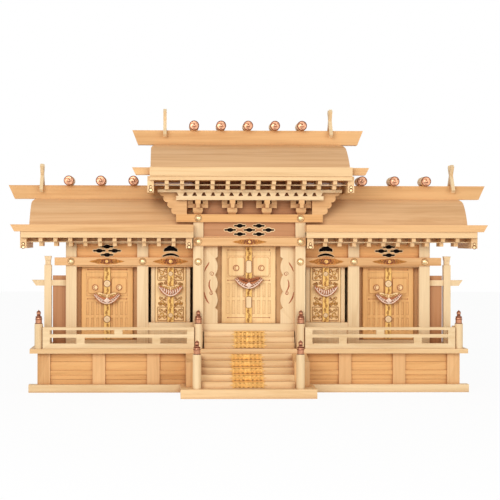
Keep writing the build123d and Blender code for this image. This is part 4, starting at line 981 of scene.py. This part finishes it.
# The middle of each pair
DOORS = {"outer_left": -OUTER_X, "outer_right": OUTER_X, "centre": 0.0, "narrow_left": -NARROW_X,
         "narrow_right": NARROW_X}
FACE_DEPTH = 3.5  # from the front of a locked leaf's cover strip to the face of the leaves
POCKET_NEAR = 7.3  # from the meeting line to the pocket of a leaf
POCKET_FAR = 12.0  # from the pocket to the hinge edge
STRIP_HALF = 6.7
STRIP_MARGIN = 5.6  # from the ends of the carved strip to those of the leaf
# Half the width of a panelled pair, and the heights of its stud, panels, upper rails and cut lines
LEAVES = {
    "outer": (58.75, 230.94, (216.5, 252.0), (255.0, 264.8), (271.0, 204.7, 122.0)),
    "centre": (61.5, 275.7, (257.5, 300.0), (303.5, 311.8), (316.0, 248.0, 163.8)),
}
STRIPS = {
    "outer": {"round_at": ((239.5, 8.2), (159.0, 8.2))},
    "centre": {"tablets": ((264.0, 293.0), (185.0, 212.0))},
    "narrow": {"round_at": ((262.0, 5.4), (168.0, 5.4))},
}
LOCKS = {
    "outer": {"length": 60.0},
    "centre": {"length": 64.0, "dark": True},
    "narrow": {"length": 54.0, "garland": True},
}


def vine(work, x, y, z0, z1, half):
    """A wavy stem with a scroll in every bend."""
    bends = max(2, round((z1 - z0) / 9.5))
    work.stroke(wave(x, z0, x, z1, 0.4 * half, bends / 2, 6 * bends), 1.6, 1.1, y, 0.7)
    for i in range(bends):
        z = z0 + (z1 - z0) * (i + 0.5) / bends
        side = 1 if i % 2 else -1
        work.stroke(spiral(x + side * 0.3 * half, z, 0.42 * half, 1.0, math.radians(90), side), 1.2, 1.2, y)


def medallion(work, ground, x, y, z, radius):
    """A pale flower on a bed whose dark edge is painted shade."""
    ground.lathe(x, y, z, [(radius, 0), (radius, 0.7), (0.9 * radius, 0.9), (0, 0.7)], 24)
    work.flower(x, y - 0.7, z, 0.86 * radius, 8, 1.4)


def tablet(work, ground, x, y, z0, z1, half):
    """A long pale octagon on a bed whose dark edge is painted shade."""
    corner = 0.45 * half
    for target, inset, depth, base in ((ground, 0.0, 0.7, y), (work, 1.0, 0.9, y - 0.5)):
        left = [(x - half + inset, z0 + corner), (x - half + corner, z0 + inset)]
        foot = left + flipped(left, x)[::-1]
        target.plate(foot + [(px, z0 + z1 - pz) for px, pz in foot[::-1]], base, depth, 0.3)


def astragal(door, round_at=(), tablets=()):
    """The carved strip over the meeting line, with medallions on it."""
    x = DOORS[door]
    body = door + "_locked_leaf"
    low, high = box_mm(door + "_locked")
    y = low[1]
    z0 = low[2] + STRIP_MARGIN
    z1 = high[2] - STRIP_MARGIN
    strip = Carving()
    strip.plate(rectangle(x - STRIP_HALF, x + STRIP_HALF, z0, z1), y, 0.4, 0.15)
    strip.finish(door + "_astragal_strip", "carving", body, "door_wood")
    front = y - 0.4
    scrolls = Outlined(1.3)
    pale = Carving()
    beds = Carving()
    gaps = [z0]
    for z, radius in round_at:
        medallion(pale, beds, x, front, z, radius)
        gaps += [z - radius, z + radius]
    for foot, head in tablets:
        tablet(pale, beds, x, front, foot, head, STRIP_HALF)
        gaps += [foot, head]
    gaps.append(z1)
    gaps.sort()
    for foot, head in zip(gaps[::2], gaps[1::2]):
        vine(scrolls, x, front, foot + 1.5, head - 1.5, STRIP_HALF)
    # the dark outlines round the scrolls are painted shade
    scrolls.finish(door + "_astragal_scrolls", "carving", "groove_z", body, "door_wood")
    pale.finish(door + "_medallions", "cream_z", body, "door_wood")
    beds.finish(door + "_medallion_shade_beds", "groove_z", body, "door_wood")


def cusped(x0, x1, z0, z1, notch):
    """A rectangle whose corners are cut in as quarter rounds."""
    points = []
    for cx, cz, start in ((x0, z0, 90), (x1, z0, 180), (x1, z1, 270), (x0, z1, 360)):
        points += arc(cx, cz, notch, notch, start, start - 90, 4)
    return points


def leaf_sides(door):
    """Each leaf of a pair: the side its face lies on and its name."""
    turn = -1 if door.endswith("_left") else 1
    return ((-turn, "free"), (turn, "locked"))


def leaf_panels(door, face_y, half_span, panel, rail, lines):
    """A raised panel in the upper pocket of each leaf, the rail above it, and the rails' thin cut lines,
    darkened with painted shade.
    """
    wood_key = "pale_door_z" if door == "centre" else "door_z"
    for side, part in leaf_sides(door):
        x = DOORS[door]
        body = f"{door}_{part}_leaf"
        work = Carving()
        edges = sorted((x + side * 10.0, x + side * (half_span - 15.5)))
        work.plate(cusped(*edges, *panel, 2.4), face_y + 1.6, 2.0, 0.9)
        edges = sorted((x + side * 7.8, x + side * (half_span - 12.5)))
        work.plate(rectangle(*edges, *rail), face_y + 1.6, 1.6, 0.4)
        work.finish(f"{door}_{part}_panel", wood_key, body, "door_wood")
        cut = Carving()
        for z in lines:
            line = [(x + side * dx, z) for dx in (9.0, 18.0, 27.0, 36.0, half_span - 15.0)]
            cut.stroke(line, 1.2, 0.4, face_y, 0.8)
            cut.lathe(x + side * (half_span - 14.5), face_y, z, [(1.5, 0), (1.3, 0.6), (0, 0.8)], 10)
        # the cut lines are darkened with painted shade
        cut.finish(f"{door}_{part}_rail_lines", "cut_z", body, "door_wood")


def stud_shade_rings(door, face_y, half_span, stud_z):
    """A dark ring and a dark crescent on its left side, both painted shade of the domed stud, and a pale bed
    on the stud of each leaf.
    """
    for side, part in leaf_sides(door):
        x = DOORS[door] + side * (POCKET_NEAR + half_span - POCKET_FAR) / 2
        body = f"{door}_{part}_leaf"
        ring = Carving()
        # painted shade: a dark ring round the dome and a dark crescent on its left
        ring.stroke(circle(x, stud_z, 6.0), 1.5, 1.2, face_y - 2.3, closed=True)
        ring.stroke(arc(x + 0.6, stud_z, 3.4, 3.6, 80, 270, 14), 2.0, 1.1, face_y - 2.5, 0.5)
        ring.finish(f"{door}_{part}_stud_shade_ring", "cut_z", body, "door_wood")
        bed = Carving()
        bed.lathe(x, face_y - 2.2, stud_z, [(6.0, 0), (5.4, 0.5), (4.6, 0.3), (1.4, 1.1), (0, 1.2)], 24)
        bed.finish(f"{door}_{part}_stud_bed", "pale_door_z", body, "door_wood")


# The crest behind a lock's leaves, as shares of half the lock's length and heights over its foot
LOCK_CREST = ((-0.9, 23.0), (-0.78, 26.0), (-0.55, 26.5), (-0.3, 24.0), (0, 22.0), (0.3, 24.0), (0.55, 26.5),
              (0.78, 26.0), (0.9, 23.0), (0.6, 12.0), (0, 6.0), (-0.6, 12.0))


def lock_work(door, length, garland=False, dark=False):
    """Bright mouldings and ribs on the dark boat-shaped lock, with scrolled leaves over its rim."""
    body = door + "_locked_leaf"
    low, high = box_mm(door + "_lock")
    x = (low[0] + high[0]) / 2
    y = low[1]
    z = low[2]
    half = length / 2
    shares = [i / 10 for i in range(-10, 11)]
    bright = Carving()
    bright.stroke([(x + 0.95 * half * u, z + 20.0 * u * u + 1.7) for u in shares], 3.4, 1.6, y, 0.7)
    if garland:
        for i in range(-4, 5):
            u = 0.2 * i
            foot = (x + half * u * 0.95, z + 20.0 * u * u * 0.9 + 4.2)
            head = (x + half * u * 0.9, z + 13.5 + 8.5 * abs(u))
            middle = ((foot[0] + head[0]) / 2 + 1.2, (foot[1] + head[1]) / 2)
            bright.stroke([foot, middle, head], 3.6, 1.5, y, 0.5)
    else:
        bright.stroke([(x + 0.86 * half * u, z + 18.0 * u * u + 6.4) for u in shares], 2.2, 1.5, y, 0.6)
        for side in (-1, 1):
            for u in (0.36, 0.5, 0.64, 0.78):
                foot = (x + side * half * (u + 0.07), z + 20.0 * (u + 0.07) ** 2 + 2.0)
                head = (x + side * half * (u - 0.08), z + 18.0 * (u - 0.08) ** 2 + 10.0)
                middle = ((foot[0] + head[0]) / 2 + side * 1.1, (foot[1] + head[1]) / 2)
                bright.stroke([foot, middle, head], 3.0, 1.6, y, 0.75)
        diamond = [(x - 8.0, z + 8.0), (x, z + 1.6), (x + 8.0, z + 8.0), (x, z + 15.0)]
        bright.plate(diamond, y, 1.4, 0.6)
        bright.flower(x, y - 1.4, z + 8.2, 4.2, 6, 1.2)
    bright.finish(door + "_lock_work", "bright", body, "gold")
    crest = Carving()
    crest.plate([(x + u * half, z + dz) for u, dz in LOCK_CREST], high[1], 5.5, 0.8)
    crest.finish(door + "_lock_crest", "bronze" if dark else "pale_door_z", body, "bronze")
    leaves = Outlined(1.1)
    base = high[1] - 5.3
    for side in (-1, 1):
        for share, dz, radius, start, hand, width in ((0.8, 22.5, 4.4, 90 - side * 90, -side, 1.6),
                                                      (0.5, 19.0, 4.4, 270, side, 1.6),
                                                      (0.2, 18.0, 4.0, 270, -side, 1.5)):
            curl = spiral(x + side * share * half, z + dz, radius, 1.2, math.radians(start), hand)
            leaves.stroke(curl, width, 1.5, base)
        stem = [(x + side * share * half, z + dz) for share, dz in ((0.32, 15.0), (0.36, 19.5), (0.3, 24.0))]
        leaves.stroke(stem, 1.6, 1.4, base)
    # the dark outlines round the leaves are painted shade
    leaves.finish(door + "_lock_leaves", "rose" if dark else "carving", "groove_z", body, "bronze")


def scroll_group(work, x, y, z, side, up, size):
    """One corner of scroll carving: five curls and a stem."""
    curls = ((0.15, 0.1, 0.5, 1.25, 90 - side * 90, side * up, 0.2),
             (-0.48, 0.5, 0.32, 1.15, 270, -side * up, 0.17),
             (0.35, -0.66, 0.3, 1.1, 90, side * up, 0.16),
             (-0.5, -0.62, 0.22, 1.0, 90, -side * up, 0.14),
             (0.6, 0.62, 0.24, 1.0, 270, side * up, 0.14))
    for dx, dz, radius, turns, start, hand, width in curls:
        middle = (x + side * dx * size, z + up * dz * size)
        curl = spiral(*middle, radius * size, turns, math.radians(start), hand)
        work.stroke(curl, width * size * 0.8, 1.5, y)
    stem = [(x - side * 0.75 * size, z - up * 0.15 * size), (x - side * 0.45 * size, z - up * 0.28 * size),
            (x - side * 0.1 * size, z - up * 0.45 * size), (x + side * 0.1 * size, z - up * 0.85 * size)]
    work.stroke(stem, 0.12 * size, 1.4, y)


SCROLL_X = 18.4  # middle of the scroll carving, from the meeting line
FRAME_LINES_X = (7.8, 29.2)  # further out, the carving would meet the bay boards when open


def narrow_carving(door):
    """Scroll carving at the top and the foot of the narrow leaves and round the lock."""
    x = DOORS[door]
    y = box_mm(door + "_free")[0][1]
    for side, part in leaf_sides(door):
        work = Outlined(1.1)
        for z, up, size in ((262.0, 1, 13.0), (171.0, -1, 13.0), (199.0, -1, 11.5)):
            scroll_group(work, x + side * SCROLL_X, y, z, side, up, size)
        for z, up in ((242.0, 1), (191.5, -1)):
            start = math.radians(90 * up)
            for dx, radius, hand in ((12.0, 3.6, 1), (20.0, 3.2, -1), (26.0, 2.4, 1)):
                middle = (x + side * dx, z - up * 0.25 * (dx - 12.0))
                work.stroke(spiral(*middle, radius, 1.2, start, hand * side * up), 1.5, 1.4, y)
        for z0, z1 in ((247.5, 276.0), (155.5, 186.5)):
            for dx in FRAME_LINES_X:
                work.stroke([(x + side * dx, z) for z in (z0, (z0 + z1) / 2, z1)], 0.9, 0.7, y, 0.9)
            for z in (z0, z1):
                work.stroke([(x + side * dx, z) for dx in (8.0, 18.5, 29.2)], 0.9, 0.7, y, 0.9)
        # the dark outlines round the carving are painted shade
        work.finish(f"{door}_{part}_carving", "carving", "groove_z", f"{door}_{part}_leaf", "door_wood")


def doors():
    for door in DOORS:
        kind = door.split("_")[0]
        astragal(door, **STRIPS[kind])
        if kind == "narrow":
            narrow_carving(door)
        else:
            half_span, stud_z, panel, rail, lines = LEAVES[kind]
            face_y = box_mm(door + "_locked")[0][1] + FACE_DEPTH
            leaf_panels(door, face_y, half_span, panel, rail, lines)
            stud_shade_rings(door, face_y, half_span, stud_z)
        lock_work(door, **LOCKS[kind])


# Camera, light and setting, in metres

WORLD_COLOUR = (1.0, 0.985, 0.965, 1.0)
WORLD_STRENGTH = 0.55
LAMP_COLOUR = (1.0, 0.985, 0.97)
LAMP_AIM = (0, 0, 0.3)
FLOOR_HALF = 6.0
FLOOR_COLOUR = (0.92, 0.92, 0.92, 1.0)
FLOOR_WHITE = 0.93  # the rest keeps the object's shadow


def add_camera():
    data = bpy.data.cameras.new("camera")
    data.lens = LENS_MM
    data.shift_x = SHIFT_X
    data.shift_y = SHIFT_Y
    data.clip_end = 50.0
    camera = new_object("camera", data)
    camera.location = [value * MM for value in EYE_MM]
    aim = Vector((math.sin(math.radians(YAW_DEG)), math.cos(math.radians(YAW_DEG)), 0.0))
    camera.rotation_euler = aim.to_track_quat("-Z", "Y").to_euler()
    camera.rotation_euler.rotate_axis("Z", math.radians(ROLL_DEG))
    bpy.context.scene.camera = camera


def add_area(name, place, size, power):
    """A soft rectangular lamp that looks at the object."""
    data = bpy.data.lights.new(name, "AREA")
    data.shape = "RECTANGLE"
    data.size, data.size_y = size
    data.energy = power
    data.color = LAMP_COLOUR
    lamp = new_object(name, data)
    lamp.location = place
    lamp.rotation_euler = (Vector(LAMP_AIM) - Vector(place)).to_track_quat("-Z", "Y").to_euler()


def calculated(tree, operation, first, second):
    node = tree.nodes.new("ShaderNodeMath")
    node.operation = operation
    for socket, value in enumerate((first, second)):
        feed(tree, value, node.inputs[socket])
    return node.outputs[0]


def white_for_camera(tree, shader_output, target, white_kind, share):
    """Camera, glossy and transmission rays see plain white in that share; the rest see the shader."""
    path = tree.nodes.new("ShaderNodeLightPath")
    seen = calculated(tree, "MAXIMUM", path.outputs["Is Camera Ray"], path.outputs["Is Glossy Ray"])
    seen = calculated(tree, "MAXIMUM", seen, path.outputs["Is Transmission Ray"])
    white = tree.nodes.new(white_kind)
    white.inputs["Color"].default_value = WHITE
    white.inputs["Strength"].default_value = 1.0
    mix = tree.nodes.new("ShaderNodeMixShader")
    tree.links.new(calculated(tree, "MULTIPLY", seen, share), mix.inputs[0])
    tree.links.new(shader_output, mix.inputs[1])
    tree.links.new(white.outputs[0], mix.inputs[2])
    tree.links.new(mix.outputs[0], target)


def add_world():
    world = bpy.data.worlds.new("studio")
    bpy.context.scene.world = world
    world.use_nodes = True
    tree = world.node_tree
    background = tree.nodes["Background"]
    background.inputs["Color"].default_value = WORLD_COLOUR
    background.inputs["Strength"].default_value = WORLD_STRENGTH
    target = tree.nodes["World Output"].inputs["Surface"]
    white_for_camera(tree, background.outputs[0], target, "ShaderNodeBackground", 1.0)


def add_floor():
    data = bpy.data.meshes.new("floor")
    corners = [(x * FLOOR_HALF, y * FLOOR_HALF, 0) for x, y in ((-1, -1), (1, -1), (1, 1), (-1, 1))]
    data.from_pydata(corners, [], [(0, 1, 2, 3)])
    floor = new_object("floor", data)
    material, tree, shader = new_material("floor")
    shader.inputs["Base Color"].default_value = FLOOR_COLOUR
    shader.inputs["Roughness"].default_value = 0.9
    target = tree.nodes["Material Output"].inputs["Surface"]
    white_for_camera(tree, shader.outputs[0], target, "ShaderNodeEmission", FLOOR_WHITE)
    data.materials.append(material)


def add_lamps():
    """A large key lamp at the left and a weaker fill at the right."""
    add_area("key", (-1.2, -3.0, 1.25), (2.0, 1.6), 52.0)
    add_area("fill", (1.9, -2.8, 0.9), (1.8, 1.8), 24.0)


bpy.context.scene.view_settings.view_transform = "Standard"
add_camera()
add_world()
add_floor()
add_lamps()
paint_nodes()
soften_edges()
nail_covers()
finial_shade_rings()
log_ends()
lintel_ornaments()
foot_fittings()
step_plates()
shadow_backings()
friezes()
frieze_ledge()
sleeve_relief()
doors()
